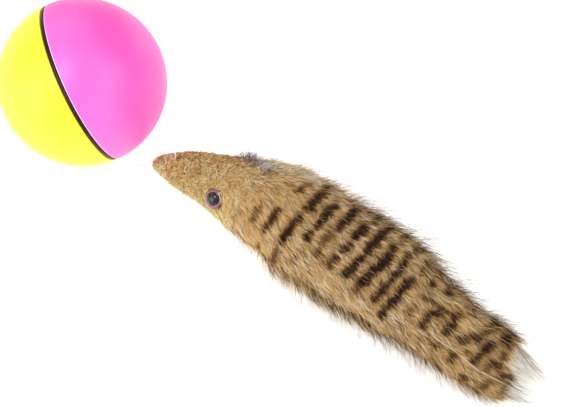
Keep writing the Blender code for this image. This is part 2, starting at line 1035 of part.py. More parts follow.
def wire_to_switch():
    """From a motor terminal round the pocket's lower edge to the switch."""
    start = terminal_place(-1)
    end = Vector(
        (
            motor_place.x,
            switch_face() - fit_gap - switch_depth / 2,
            switch_height - switch_length / 2 - fit_gap,
        )
    )
    below = Vector((0.0, 0.0, -terminal_length))
    half_way = (start + end) / 2 + below
    return start, start + below / 2, half_way, end + below, end


def wire_to_spring():
    """From the other terminal down to the spring's end of the cell's tube."""
    start = terminal_place(1)
    to_cell = (cell_place - start.to_2d().to_3d()).normalized()
    end = cell_place - to_cell * (cell_tube_radius + fit_gap + wire_radius)
    end.z = arm_thickness - case_low + fit_gap + terminal_length
    below = Vector((0.0, 0.0, -terminal_length))
    outward = -to_cell * terminal_length
    return start, start + below, (start + end) / 2 + outward, end - below, end


# The mouse


def oval(x, y, z, half_width, half_height, flat_degrees=0.0):
    """A ring of points round the mouse, square to X, and flat below within an angle of straight down."""
    ring = []
    for side in range(form_sides):
        turn = math.tau * side / form_sides
        rise = math.cos(turn)
        if rise < 0:
            rise = max(-1.0, rise / math.cos(math.radians(flat_degrees)))
        ring.append(Vector((x, y + half_width * math.sin(turn), z + half_height * rise)))
    return ring


def cap_rings(centre, half_width, half_height, start, end):
    """Rings of an ellipsoid that is round seen from above, between two places along X from its centre."""
    first, last = math.asin(start / half_width), math.asin(end / half_width)
    rings = []
    for step in range(cap_steps):
        rise = first + (last - first) * step / (cap_steps - 1)
        reach = math.cos(rise)
        rings.append(
            oval(
                centre.x + half_width * math.sin(rise),
                centre.y,
                centre.z,
                half_width * reach,
                half_height * reach,
            )
        )
    return rings


def neck_centre():
    return Vector((neck_x, neck_side, neck_rise))


def tail_centre():
    return Vector((tail_x, tail_side, tail_rise))


def shares_at(table, along_share):
    """A table's row at any place along the form, straight between the rows on both sides of it."""
    for near, far in zip(table, table[1:]):
        if along_share <= far[0]:
            break
    reach = (along_share - near[0]) / (far[0] - near[0])
    return tuple(one + (two - one) * reach for one, two in zip(near, far))


def head_ring(row, inset):
    along_share, width_share, height_share = row
    neck = neck_centre()
    bow_share = (1 - along_share) ** 3
    return oval(
        nose_x + head_length * along_share,
        neck.y + (nose_side - neck.y) * bow_share,
        nose_height + (neck.z - nose_height) * along_share,
        neck_width / 2 * width_share - inset,
        neck_height / 2 * height_share - inset,
    )


def head_form(name, inset):
    """The head as a closed form, hollowed behind to take the neck's ball, all of it set in by an inset."""
    neck = neck_centre()
    setback = neck_rim_setback + neck_inset_share * inset
    table = (*head_shares, (1.0, 1.0, 1.0))
    rim = shares_at(table, 1 - setback / head_length)
    rings = [
        head_ring(row, inset)
        for row in head_shares
        if 2 * inset / head_length < row[0] < rim[0]
    ]
    rings.append(head_ring(rim, inset))
    half_width = neck_ball_width / 2 + socket_gap + inset
    half_height = neck_ball_height / 2 + socket_gap + inset
    rings += cap_rings(neck, half_width, half_height, -setback, -half_width * cap_end_share)
    nose = Vector((nose_x + 2 * inset, nose_side, nose_height))
    pole = neck - Vector((half_width, 0.0, 0.0))
    return lofted(name, rings, nose, pole)


def body_form(name, inset):
    """The body as a closed form with a ball at each end, for the neck and the tail to turn on."""
    neck, tail = neck_centre(), tail_centre()
    half_width = neck_ball_width / 2 - inset
    half_height = neck_ball_height / 2 - inset
    front = neck - Vector((half_width, 0.0, 0.0))
    rings = cap_rings(neck, half_width, half_height, -half_width * cap_end_share, 0.0)
    for along_share, width_share, height_share, side_share in body_shares:
        height = neck_height / 2 * height_share
        sink = belly_sink * math.sin(math.pi * along_share)
        rings.append(
            oval(
                neck_x + (tail_x - neck_x) * along_share,
                neck_side * side_share,
                height - sink,
                neck_width / 2 * width_share - inset,
                height - inset,
                belly_flat_degrees,
            )
        )
    half_width = tail_ball_width / 2 - inset
    half_height = tail_ball_height / 2 - inset
    rings += cap_rings(tail, half_width, half_height, 0.0, half_width * cap_end_share)
    return lofted(name, rings, front, tail + Vector((half_width, 0.0, 0.0)))


def tail_form(name, inset):
    """The tail as a closed form, hollowed in front to take the body's ball."""
    tail = tail_centre()
    setback = tail_rim_setback + tail_inset_share * inset
    half_width = tail_ball_width / 2 + socket_gap + inset
    half_height = tail_ball_height / 2 + socket_gap + inset
    rings = cap_rings(tail, half_width, half_height, half_width * cap_end_share, setback)
    rim = shares_at(tail_shares, setback / tail_length)
    rows = [rim] + [row for row in tail_shares if row[0] > rim[0]]
    for along_share, width_share, height_share, side_share in rows:
        height = tail_root_height / 2 * height_share
        if height > 2 * inset:
            rings.append(
                oval(
                    tail_x + tail_length * along_share,
                    tail_root_width / 2 * side_share,
                    height + tail_lift,
                    tail_root_width / 2 * width_share - inset,
                    height - inset,
                )
            )
    tip = Vector((tail_end_x - neck_inset_share * inset, tail_side, tail_tip_height))
    if inset:
        tip.z = rings[-1][0].z / 2
    return lofted(name, rings, tail + Vector((half_width, 0.0, 0.0)), tip)


def seam_slot(centre, length):
    """A narrow cut along the middle of the belly, where the skin is sewn up after stuffing."""
    reach = neck_height + cut_overrun
    slot = block("slot", Vector((0.0, 0.0, reach / 2)), length, seam_slot_width, reach)
    slot.data.transform(Matrix.Rotation(math.radians(180 - lean_degrees), 4, "X"))
    slot.data.transform(Matrix.Translation(centre))
    return slot


def mouse_head_skin():
    """The head's skin, with the eyes' seats, the nose's dimple and the slot in the belly's seam."""
    seat_low = -eye_rim - fit_gap
    bore_low = -eye_shank_length - fit_gap
    seat = (
        (0, bore_low),
        (eye_shank_radius + fit_gap, bore_low),
        (eye_shank_radius + fit_gap, seat_low),
        (eye_radius + fit_gap, seat_low),
        (eye_radius + fit_gap, eye_radius),
        (0, eye_radius),
    )
    dimple = ball("dimple", dimple_radius, 10)
    dimple.data.transform(dimple_frame())
    slot_place = (Vector((nose_x, nose_side, nose_height)) + neck_centre()) / 2
    slot = seam_slot(slot_place, head_length * seam_length_share / 2)
    skin = cut(head_form("head_skin", 0.0), dimple)
    for degrees in eye_angles():
        room = turned("room", seat, eye_sides)
        room.data.transform(eye_frame(degrees))
        cut(skin, room)
    return cut(skin, slot, head_form("inside", skin_thickness))


def mouse_head_stuffing():
    stuffing = head_form("head_stuffing", skin_thickness + fit_gap)
    for degrees in eye_angles():
        pocket = cylinder(
            "pocket", washer_radius + fit_gap, -eye_shank_length - fit_gap, eye_radius
        )
        pocket.data.transform(eye_frame(degrees))
        cut(stuffing, pocket)
    return stuffing


def mouse_body_skin():
    body = cut(body_form("body_skin", 0.0), body_form("inside", skin_thickness))
    middle = (neck_centre() + tail_centre()) / 2
    cut(body, seam_slot(middle, (tail_x - neck_x) * seam_length_share))
    floor_place = Vector((middle.x, middle.y, -belly_sink))
    return cut(
        body, block("floor", floor_place, tail_x - neck_x, neck_width * 2, 2 * belly_sink)
    )


def mouse_tail_skin():
    tail = cut(tail_form("tail_skin", 0.0), tail_form("inside", skin_thickness))
    place = tail_centre() + Vector((tail_length / 2, tail_side, -tail_rise / 4))
    return cut(tail, seam_slot(place, tail_length * seam_length_share / 2))


def ball(name, radius, sides):
    bands = sides // 2
    profile = [
        (radius * math.sin(math.pi * band / bands), -radius * math.cos(math.pi * band / bands))
        for band in range(1, bands)
    ]
    return turned(name, [(0, -radius), *profile, (0, radius)], sides)


def surface_frame(row, degrees):
    """A place on the head's skin, at an angle from straight up, with Z pointing out of the skin."""
    ring = head_ring(row, 0.0)
    centre = sum(ring, Vector()) / len(ring)
    turn = math.radians(degrees)
    half_width, half_height = neck_width / 2 * row[1], neck_height / 2 * row[2]
    place = centre + Vector((0.0, half_width * math.sin(turn), half_height * math.cos(turn)))
    out = Vector((0.0, math.sin(turn) / half_width, math.cos(turn) / half_height))
    out = out.normalized() - Vector((nose_taper_share, 0.0, 0.0))
    return Matrix.Translation(place) @ out.to_track_quat("Z", "Y").to_matrix().to_4x4()


def eye_angles():
    """Both eyes stand as far from the leaning middle of the back."""
    return -eye_degrees, 2 * lean_degrees + eye_degrees


def eye_frame(degrees):
    return surface_frame(shares_at(head_shares, 1 - eye_setback / head_length), degrees)


def moulded_eye(name):
    """The moulded eye: a rimmed dome with a seat for the pupil, and the shank that goes through the skin."""
    slope = eye_dome / 2
    profile = (
        (0, -eye_shank_length),
        (eye_shank_radius, -eye_shank_length),
        (eye_shank_radius, -eye_rim),
        (eye_radius, -eye_rim),
        (eye_radius, 0.0),
        (eye_radius - slope / 2, slope),
        (pupil_radius + fit_gap, eye_dome),
        (pupil_radius + fit_gap, eye_dome - pupil_seat),
        (0, eye_dome - pupil_seat),
    )
    return turned(name, profile, eye_sides)


def eye_pupil(name):
    low = eye_dome - pupil_seat + fit_gap
    high = eye_dome + pupil_dome
    profile = (
        (0, low),
        (pupil_radius, low),
        (pupil_radius, eye_dome),
        *(
            (pupil_radius * reach_share, eye_dome + pupil_dome * rise_share)
            for reach_share, rise_share in pupil_dome_shares
        ),
        (0, high),
    )
    return turned(name, profile, eye_sides)


def eye_washer(name):
    """The toothed plastic washer that is pushed onto the shank from inside."""
    inner = eye_shank_radius + fit_gap
    low, high = -washer_depth, -washer_depth + washer_thickness
    profile = ((inner, low), (washer_radius, low), (washer_radius, high), (inner, high))
    return turned(name, profile, eye_sides, closed=True)


def dimple_frame():
    return surface_frame(shares_at(head_shares, dimple_along_share), dimple_degrees)


def nose_knot():
    knot = ball("nose_knot", knot_radius, 10)
    knot.data.transform(Matrix.Translation((0.0, 0.0, -fit_gap)))
    return knot


def nose_line():
    return tube("nose_line", smooth_route(line_route, line_step), line_diameter / 2, 2)


# Putting it together


def build_ball(frame):
    magenta = material("magenta_gloss_plastic", (0.90, 0.12, 0.48), 0.3)
    yellow = material("yellow_gloss_plastic", (0.90, 0.82, 0.03), 0.3)
    black = material("black_plastic", (0.01, 0.01, 0.012), 0.35)
    steel = material("bright_steel", (0.6, 0.6, 0.62), 0.25, 1.0)
    white = material("white_gear_plastic", (0.8, 0.8, 0.76), 0.4)
    finish(magenta_shell(), magenta, frame)
    finish(seam_ring(), black, frame)
    finish(drive_axle(), steel, frame)
    finish(output_gear(), white, frame)
    yellow_body = empty("yellow_half", Vector(), frame)
    finish(yellow_shell(), yellow, yellow_body)
    build_motor_unit(empty("motor_unit", Vector(), frame), white, steel, black)


def build_motor_unit(unit, white, steel, black):
    grey = material("grey_case_plastic", (0.35, 0.36, 0.38), 0.5)
    brass = material("brass", (0.75, 0.55, 0.25), 0.3, 1.0)
    label = material("cell_jacket", (0.12, 0.14, 0.16), 0.35, 0.4)
    red = material("red_wire", (0.6, 0.02, 0.02), 0.5)
    finish(case_body(), grey, unit)
    finish(case_lid(), grey, unit)
    finish(battery_door(), grey, unit)
    finish(idle_pin(), steel, unit)
    finish(battery_cell(), label, unit, cell_place)
    finish_tube(battery_spring(), steel, unit, cell_place)
    finish(contact_plate(), steel, unit, cell_place)
    finish(motor_can(), steel, unit, motor_place)
    finish(motor_end_bell(), black, unit, motor_place)
    for number, place in enumerate(screw_places, 1):
        finish(case_screw(f"case_screw_{number}"), steel, unit, place)
    finish(idler_pin("idler_pin_1"), steel, unit, first_idler_place)
    finish(idler_pin("idler_pin_2"), steel, unit, second_idler_place)
    finish(switch_body(), black, unit)
    finish(switch_knob(), white, empty("switch_slide", Vector(), unit))
    finish_tube(wire("wire_red", wire_to_switch()), red, unit)
    finish_tube(wire("wire_black", wire_to_spring()), black, unit)
    degrees = gear_degrees()
    first = compound_gear("idler_gear_1", motor_layer, degrees[4], degrees[3])
    second = compound_gear("idler_gear_2", middle_layer, degrees[2], degrees[1])
    finish(first, white, empty("idler_1", first_idler_place, unit))
    finish(second, white, empty("idler_2", second_idler_place, unit))
    rotor = empty("rotor", motor_place, unit)
    finish(motor_armature(), brass, rotor)
    finish(motor_pinion(), brass, rotor)


def wire(name, route):
    return tube(name, smooth_route(route, 4 * wire_radius), wire_radius, 2)


def finish_tube(piece, looks, parent=None, place=None):
    piece.data.materials.append(looks)
    piece.parent = parent
    if place is not None:
        piece.location = place


def build_mouse():
    plush = material("tan_plush", (0.45, 0.28, 0.13), 0.95)
    fur = material("striped_fur", (0.40, 0.25, 0.11), 0.95)
    stuffing = material("polyester_stuffing", (0.85, 0.85, 0.82), 1.0)
    brown = material("brown_eye_plastic", (0.22, 0.05, 0.03), 0.15)
    black = material("black_eye_plastic", (0.005, 0.005, 0.006), 0.05)
    washer = material("white_washer_plastic", (0.8, 0.8, 0.78), 0.4)
    nylon = material("clear_nylon", (0.8, 0.78, 0.7), 0.2)
    line_start = Vector(line_route[0])
    head = empty("mouse_head", Vector((line_start.x, line_start.y, 0.0)))
    body = empty("mouse_body", neck_centre() - head.location, head)
    tail = empty("mouse_tail", tail_centre() - neck_centre(), body)
    hang(finish(mouse_head_skin(), plush), head)
    hang(finish(mouse_head_stuffing(), stuffing), head)
    hang(finish(mouse_body_skin(), fur), body)
    hang(finish(body_form("body_stuffing", skin_thickness + fit_gap), stuffing), body)
    hang(finish(mouse_tail_skin(), fur), tail)
    hang(finish(tail_form("tail_stuffing", skin_thickness + fit_gap), stuffing), tail)
    for side, degrees in zip(("left", "right"), eye_angles()):
        for made, looks in (
            (moulded_eye(f"{side}_eye"), brown),
            (eye_pupil(f"{side}_pupil"), black),
            (eye_washer(f"{side}_eye_washer"), washer),
        ):
            made.data.transform(eye_frame(degrees))
            hang(finish(made, looks), head)
    knot = nose_knot()
    knot.data.transform(dimple_frame())
    hang(finish(knot, nylon), head)
    line = nose_line()
    line.data.materials.append(nylon)
    hang(line, head)


def hang(piece, pivot):
    """Parents a piece that was made in place."""
    bpy.context.view_layer.update()
    piece.parent = pivot
    piece.matrix_parent_inverse = pivot.matrix_world.inverted()
    return piece


def main():
    clear_scene()
    turn = Matrix.Rotation(math.radians(pole_turn_degrees), 4, "Z")
    rise = Matrix.Rotation(math.radians(90 - pole_rise_degrees), 4, "Y")
    hang_down = Matrix.Rotation(math.radians(hang_degrees), 4, "Z")
    frame = empty("ball_frame", ball_centre, turn=(turn @ rise @ hang_down).to_quaternion())
    build_ball(frame)
    build_mouse()


main()
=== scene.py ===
"""Ball and mouse cat toy: a two-colour motor ball with a striped furry mouse tied to its ring."""

import math

import bmesh
import bpy
import numpy as np
from mathutils import Matrix, Vector, kdtree


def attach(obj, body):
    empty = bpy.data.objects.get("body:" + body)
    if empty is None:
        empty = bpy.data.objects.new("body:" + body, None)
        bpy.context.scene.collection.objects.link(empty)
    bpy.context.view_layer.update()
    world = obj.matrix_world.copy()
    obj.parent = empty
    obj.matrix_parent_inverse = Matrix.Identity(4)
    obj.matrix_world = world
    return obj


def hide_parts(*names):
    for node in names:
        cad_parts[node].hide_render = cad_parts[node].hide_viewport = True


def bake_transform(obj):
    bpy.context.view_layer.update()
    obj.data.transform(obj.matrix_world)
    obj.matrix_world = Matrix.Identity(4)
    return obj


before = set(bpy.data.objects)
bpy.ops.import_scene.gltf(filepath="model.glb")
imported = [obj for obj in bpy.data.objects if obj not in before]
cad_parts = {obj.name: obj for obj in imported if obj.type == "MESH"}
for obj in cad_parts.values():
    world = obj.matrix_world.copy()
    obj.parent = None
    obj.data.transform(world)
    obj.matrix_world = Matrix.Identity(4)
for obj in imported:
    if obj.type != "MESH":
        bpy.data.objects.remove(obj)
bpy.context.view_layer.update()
scene = bpy.context.scene
MM = 0.001

# The camera
# It looks down on the toy from above its right side, with the ball at the upper left of the
# picture and the tail at the lower right.

camera_place = Vector((0.16909, -0.24515, 0.54872))
camera_tilt, camera_turn = 30.0, 33.9
camera_data = bpy.data.cameras.new("camera")
camera_data.sensor_width = 36.0
camera_data.lens = 80.35
camera_data.clip_start = 0.05
camera = bpy.data.objects.new("camera", camera_data)
camera.location = camera_place
camera.rotation_euler = (math.radians(camera_tilt), 0.0, math.radians(camera_turn))
scene.collection.objects.link(camera)
scene.camera = camera


# The line and its knot
# A short piece of twisted nylon line is tied to the ball's seam ring, hangs over to the nose and
# is knotted in a dimple on top of it.

line_thickness = 0.4 * MM
line_route = (
    (-87.15, -10.47, 12.07), (-86.63, -10.76, 11.42), (-85.83, -10.98, 10.66),
    (-85.16, -11.12, 10.14), (-84.35, -11.3, 9.54), (-83.39, -11.32, 8.94), (-82.3, -11, 8.4),
    (-81.57, -10.62, 8.12), (-80.75, -10.13, 7.83), (-79.87, -9.55, 7.55), (-78.96, -8.89, 7.3),
    (-78.08, -8.16, 7.08), (-77.24, -7.39, 6.91), (-76.5, -6.6, 6.8), (-75.92, -5.85, 6.75),
    (-75.39, -5.03, 6.74), (-74.88, -4.16, 6.75), (-74.41, -3.26, 6.81), (-73.96, -2.35, 6.9),
    (-73.53, -1.45, 7.02), (-73.11, -0.59, 7.19), (-72.7, 0.2, 7.4), (-72.26, 1.07, 7.7),
    (-71.85, 1.95, 8.07), (-71.48, 2.81, 8.49), (-71.11, 3.62, 8.96), (-70.74, 4.35, 9.45),
    (-70.34, 4.99, 9.97), (-69.9, 5.5, 10.5), (-69.34, 5.95, 11.16), (-68.73, 6.29, 11.9),
    (-68.11, 6.49, 12.67), (-67.47, 6.58, 13.43), (-66.83, 6.55, 14.16), (-66.2, 6.4, 14.8),
    (-65.56, 6.07, 15.39), (-64.89, 5.55, 15.97), (-64.22, 4.91, 16.5), (-63.59, 4.23, 16.97),
    (-63, 3.56, 17.34), (-62.5, 3, 17.6), (-61.79, 2.1, 17.68), (-61.29, 1.3, 17.39),
    (-60.8, 0.5, 17.1),
)  # fmt: skip
line_points = [Vector(point) * MM for point in line_route]
knot_place = Vector((-60.19, -0.30, 16.69)) * MM
knot_radius = 0.42 * MM
knot_steps = 48


def surface(name, roughness, sockets=()):
    """A new material, with sockets of its shader set besides the roughness."""
    look = bpy.data.materials.new(name)
    look.use_nodes = True
    for socket, value in (("Roughness", roughness), *sockets):
        look.node_tree.nodes["Principled BSDF"].inputs[socket].default_value = value
    return look


def inside(look):
    """A material's nodes, its links and its shader."""
    nodes = look.node_tree.nodes
    return nodes, look.node_tree.links, nodes["Principled BSDF"]


def colour_ramp(nodes, stops):
    """A ramp through colours, from stops of (position, colour)."""
    ramp = nodes.new("ShaderNodeValToRGB")
    ends = ramp.color_ramp.elements
    for end, (position, colour) in ((ends[0], stops[0]), (ends[1], stops[-1])):
        end.position, end.color = position, (*colour, 1.0)
    for position, colour in stops[1:-1]:
        ends.new(position).color = (*colour, 1.0)
    return ramp


def noise_over(nodes, links, scale, detail, stretch):
    """Noise over the object's own space, in patches of 1 / scale metres."""
    place = nodes.new("ShaderNodeTexCoord")
    squeeze = nodes.new("ShaderNodeMapping")
    squeeze.inputs["Scale"].default_value = stretch
    noise = nodes.new("ShaderNodeTexNoise")
    noise.inputs["Scale"].default_value = scale
    noise.inputs["Detail"].default_value = detail
    links.new(place.outputs["Object"], squeeze.inputs["Vector"])
    links.new(squeeze.outputs["Vector"], noise.inputs["Vector"])
    return noise.outputs["Fac"]


def mottle(look, darker, paler, scale, detail=4.0, stretch=(1, 1, 1)):
    """Two colours that drift into each other in soft patches of 1 / scale metres."""
    nodes, links, shader = inside(look)
    ramp = colour_ramp(nodes, ((0.32, darker), (0.68, paler)))
    links.new(noise_over(nodes, links, scale, detail, stretch), ramp.inputs["Fac"])
    links.new(ramp.outputs["Color"], shader.inputs["Base Color"])


def grain(look, scale, strength, depth, stretch=(1, 1, 1)):
    """Fine relief: a noise of 1 / scale metres, depth metres deep."""
    nodes, links, shader = inside(look)
    bump = nodes.new("ShaderNodeBump")
    bump.inputs["Strength"].default_value = strength
    bump.inputs["Distance"].default_value = depth
    links.new(noise_over(nodes, links, scale, 3.0, stretch), bump.inputs["Height"])
    links.new(bump.outputs["Normal"], shader.inputs["Normal"])


def piece(name, mesh, look):
    made = bpy.data.objects.new(name, mesh)
    scene.collection.objects.link(made)
    made.data.materials.append(look)
    return made


def thread(name, points, thickness, look, closed=False):
    """A round thread along points."""
    curve = bpy.data.curves.new(name, "CURVE")
    curve.dimensions = "3D"
    curve.bevel_depth = thickness / 2
    curve.bevel_resolution = 3
    curve.use_fill_caps = True
    run = curve.splines.new("POLY")
    run.points.add(len(points) - 1)
    for spot, point in zip(run.points, points):
        spot.co = (*point, 1.0)
    run.use_cyclic_u = closed
    return piece(name, curve, look)


def knot_point(turn):
    """A point on the knot's trefoil loop."""
    x = math.sin(turn) + 2 * math.sin(2 * turn)
    y = math.cos(turn) - 2 * math.cos(2 * turn)
    return knot_place + knot_radius / 3 * Vector((x, y, -math.sin(3 * turn)))


nylon = surface("twisted_nylon", 0.35)
mottle(nylon, (0.78, 0.74, 0.68), (0.96, 0.94, 0.90), scale=1600.0)
grain(nylon, scale=2500.0, strength=0.6, depth=0.00006, stretch=(1, 1, 0.25))

line = thread("twisted_line", line_points, line_thickness, nylon)
knot_points = [knot_point(math.tau * step / knot_steps) for step in range(knot_steps)]
knot = thread("line_knot", knot_points, line_thickness, nylon, closed=True)
for made, node in ((line, "nose_line"), (knot, "nose_knot")):
    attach(made, "mouse_head")
    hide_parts(node)


# The ball's two halves
# Thin shells of satin gloss plastic, one magenta and one yellow, each with a boss inside its pole.
# The magenta half carries the drive axle, and the yellow half twists off its three lugs.

ball_radius = 41.0 * MM
shell_inside = 39.2 * MM
shell_edge = 1.05 * MM
edge_round = 0.4 * MM
boss_radius = 4.0 * MM
boss_end = 34.6 * MM
bore_radius = 2.3 * MM
bore_end = 38.3 * MM
lug_turns = (0.0, 120.0, 240.0)
lug_degrees = 8.0
lug_heights = (-3.0 * MM, -1.8 * MM)
lug_radii = (36.7 * MM, 39.6 * MM)
ball_sides = 128
ball_crease = math.radians(35)
ball_place = Matrix.Translation((-0.11425, 0.0, 0.041))
ball_turn = (
    Matrix.Rotation(math.radians(50.0), 4, "Z")
    @ Matrix.Rotation(math.radians(72.0), 4, "Y")
    @ Matrix.Rotation(math.radians(200.1), 4, "Z")
)
ball_frame = ball_place @ ball_turn


def around(radius, turn, height):
    return (radius * math.cos(turn), radius * math.sin(turn), height)


def closed_mesh(name, work):
    """The drawn faces as a mesh, all of them pointing out."""
    bmesh.ops.recalc_face_normals(work, faces=work.faces)
    mesh = bpy.data.meshes.new(name)
    work.to_mesh(mesh)
    work.free()
    return mesh


def turned(name, profile, sides, look, closed=False):
    """A smooth piece: a profile of (radius, height), turned about Z."""
    work = bmesh.new()
    turns = [math.tau * side / sides for side in range(sides)]
    rows = []
    for radius, height in profile:
        if radius == 0:
            rows.append([work.verts.new((0, 0, height))] * sides)
        else:
            rows.append([work.verts.new(around(radius, turn, height)) for turn in turns])
    pairs = list(zip(rows, rows[1:])) + ([(rows[-1], rows[0])] if closed else [])
    for near, far in pairs:
        for side in range(sides):
            after = (side + 1) % sides
            corners = dict.fromkeys((near[side], far[side], far[after], near[after]))
            work.faces.new(list(corners))
    mesh = closed_mesh(name, work)
    mesh.shade_smooth()
    return piece(name, mesh, look)


def arc(radius, low, high, steps):
    """Points of (radius, height) on a round of a ball, from one height angle to another."""
    turns = (low + (high - low) * step / steps for step in range(steps + 1))
    return [(radius * math.cos(turn), radius * math.sin(turn)) for turn in turns]


def half_shell(name, look):
    """One half of the ball, round +Z, with softened edges at the seam."""
    edge = math.asin((shell_edge + edge_round) / ball_radius)
    inner_edge = math.asin((shell_edge + edge_round) / shell_inside)
    boss_turn = math.acos(boss_radius / shell_inside)
    soft = edge_round * 0.3
    profile = [(0, ball_radius), *arc(ball_radius, math.pi / 2, edge, steps=40)[1:]]
    profile += [(ball_radius - soft, shell_edge + soft), (ball_radius - edge_round, shell_edge)]
    profile += [(shell_inside + edge_round / 2, shell_edge)]
    profile += arc(shell_inside, inner_edge, boss_turn, steps=24)
    profile += [(boss_radius, boss_end), (bore_radius, boss_end), (bore_radius, bore_end)]
    profile += [(0, bore_end)]
    made = turned(name, profile, ball_sides, look)
    made.data.set_sharp_from_angle(angle=ball_crease)
    return made


def shell_plastic(name, plain, cloudy):
    """Moulded plastic with soft clouds of colour, a faint skin and hair-thin scuffs."""
    skin = (("Specular IOR Level", 0.32), ("Coat Weight", 0.08), ("Coat Roughness", 0.30))
    look = surface(name, 0.42, skin)
    mottle(look, plain, cloudy, scale=26.0, detail=1.0)
    grain(look, scale=900.0, strength=0.25, depth=0.00002)
    return look


magenta = shell_plastic("magenta_plastic", (0.93, 0.10, 0.53), (0.97, 0.19, 0.66))
yellow = shell_plastic("yellow_plastic", (0.94, 0.86, 0.015), (0.97, 0.90, 0.05))
# Painted highlight: the magenta half's rounded seam edge is painted pale lilac, as if lit
edge_highlight = shell_plastic("magenta_edge_highlight", (0.93, 0.66, 0.90), (0.97, 0.76, 0.95))
shell_magenta = half_shell("ball_magenta_half", magenta)
shell_yellow = half_shell("ball_yellow_half", yellow)
shell_magenta.data.materials.append(edge_highlight)
# The faces of that rounded seam edge take the painted highlight
for face in shell_magenta.data.polygons:
    middle = face.center
    if middle.z < shell_edge + edge_round and middle.xy.length > ball_radius - edge_round:
        face.material_index = 1
shell_yellow.data.transform(Matrix.Rotation(math.pi, 4, "X"))
work = bmesh.new()
work.from_mesh(shell_yellow.data)
for start in lug_turns:
    corners = [
        work.verts.new(around(radius, math.radians(start + turn), height))
        for height in lug_heights
        for radius in lug_radii
        for turn in (0.0, lug_degrees)
    ]
    for face in (
        (0, 1, 3, 2), (4, 6, 7, 5), (0, 4, 5, 1), (1, 5, 7, 3), (3, 7, 6, 2), (2, 6, 4, 0),
    ):  # fmt: skip
        work.faces.new([corners[corner] for corner in face]).smooth = False
work.to_mesh(shell_yellow.data)
work.free()
for made, node, body, slot in (
    (shell_magenta, "shell_magenta", "ball", "magenta_shell"),
    (shell_yellow, "shell_yellow", "yellow_half", "yellow_shell"),
):
    made.data.transform(ball_frame)
    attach(made, body)
    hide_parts(node)


# The seam ring
# A black moulded ring: its rounded bead shows between the halves, and its collar, with three
# bayonet slots, holds them together. The line is tied to it.

bead_radius = 40.7 * MM
bead_half = 0.75 * MM
bead_turns = [math.radians(90 - 15 * step) for step in range(13)]
collar_outside = 38.34 * MM
collar_inside = 37.14 * MM
collar_reach = 4.5 * MM
slot_inside = 36.0 * MM
slot_outside = 38.6 * MM
slot_steps = 6
# Each slot's way in and its run: low, high, and the turns in degrees from the lug's own place
slot_cuts = ((-5.5 * MM, -1.5 * MM, 24.0, 34.0), (-3.3 * MM, -1.5 * MM, -1.0, 34.0))

black_ring = surface("black_ring_plastic", 0.42, (("Specular IOR Level", 0.25),))
mottle(black_ring, (0.016, 0.004, 0.005), (0.050, 0.012, 0.014), scale=140.0)
grain(black_ring, scale=1500.0, strength=0.3, depth=0.00003)

ring_profile = [
    (bead_radius - bead_half * (1 - math.cos(turn)), bead_half * math.sin(turn))
    for turn in bead_turns
]
ring_profile += [(collar_outside, -bead_half), (collar_outside, -collar_reach)]
ring_profile += [(collar_inside, -collar_reach), (collar_inside, collar_reach)]
ring_profile += [(collar_outside, collar_reach), (collar_outside, bead_half)]
ring = turned("ball_seam_ring", ring_profile, ball_sides, black_ring, closed=True)
ring.data.set_sharp_from_angle(angle=ball_crease)


def slot_cutter(low, high, start, end):
    """A block of a flat ring that reaches through the collar."""
    turns = [
        math.radians(start + (end - start) * step / slot_steps) for step in range(slot_steps + 1)
    ]
    outline = [(slot_inside, turn) for turn in turns]
    outline += [(slot_outside, turn) for turn in reversed(turns)]
    work = bmesh.new()
    bottom = [work.verts.new(around(radius, turn, low)) for radius, turn in outline]
    top = [work.verts.new(around(radius, turn, high)) for radius, turn in outline]
    work.faces.new(bottom)
    work.faces.new(top)
    for place in range(len(outline)):
        after = (place + 1) % len(outline)
        work.faces.new((bottom[place], bottom[after], top[after], top[place]))
    block = bpy.data.objects.new("cutter", closed_mesh("cutter", work))
    scene.collection.objects.link(block)
    return block


for start in lug_turns:
    for low, high, first, last in slot_cuts:
        cutter = slot_cutter(low, high, start + first, start + last)
        slot = ring.modifiers.new("slot", "BOOLEAN")
        slot.operation = "DIFFERENCE"
        slot.object = cutter
        view = bpy.context.evaluated_depsgraph_get()
        ring_mesh = bpy.data.meshes.new_from_object(ring.evaluated_get(view))
        ring.modifiers.clear()
        ring.data = ring_mesh
        bpy.data.objects.remove(cutter)
ring.data.transform(ball_frame)
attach(ring, "ball")
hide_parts("seam_ring")


# The motor unit inside the ball
# A moulded case hangs on the drive axle and holds the motor, its gear train, one battery cell and
# the switch. These pieces keep their solids, and get the finish that each is made in.


def moulded(name, colour, roughness):
    """Plain moulded plastic with flow marks and a sparked skin."""
    look = surface(name, roughness)
    paler = [min(1.0, channel * 1.25 + 0.01) for channel in colour]
    mottle(look, colour, paler, scale=220.0)
    grain(look, scale=3000.0, strength=0.4, depth=0.00003)
    return look


def drawn_metal(name, colour, roughness=0.25, stretch=(1, 1, 12)):
    """Metal with fine drawn or turned lines."""
    look = surface(name, roughness, (("Metallic", 1.0),))
    darker = [channel * 0.72 for channel in colour]
    mottle(look, darker, colour, scale=500.0, detail=5.0, stretch=stretch)
    grain(look, scale=1800.0, strength=0.35, depth=0.00002, stretch=stretch)
    return look


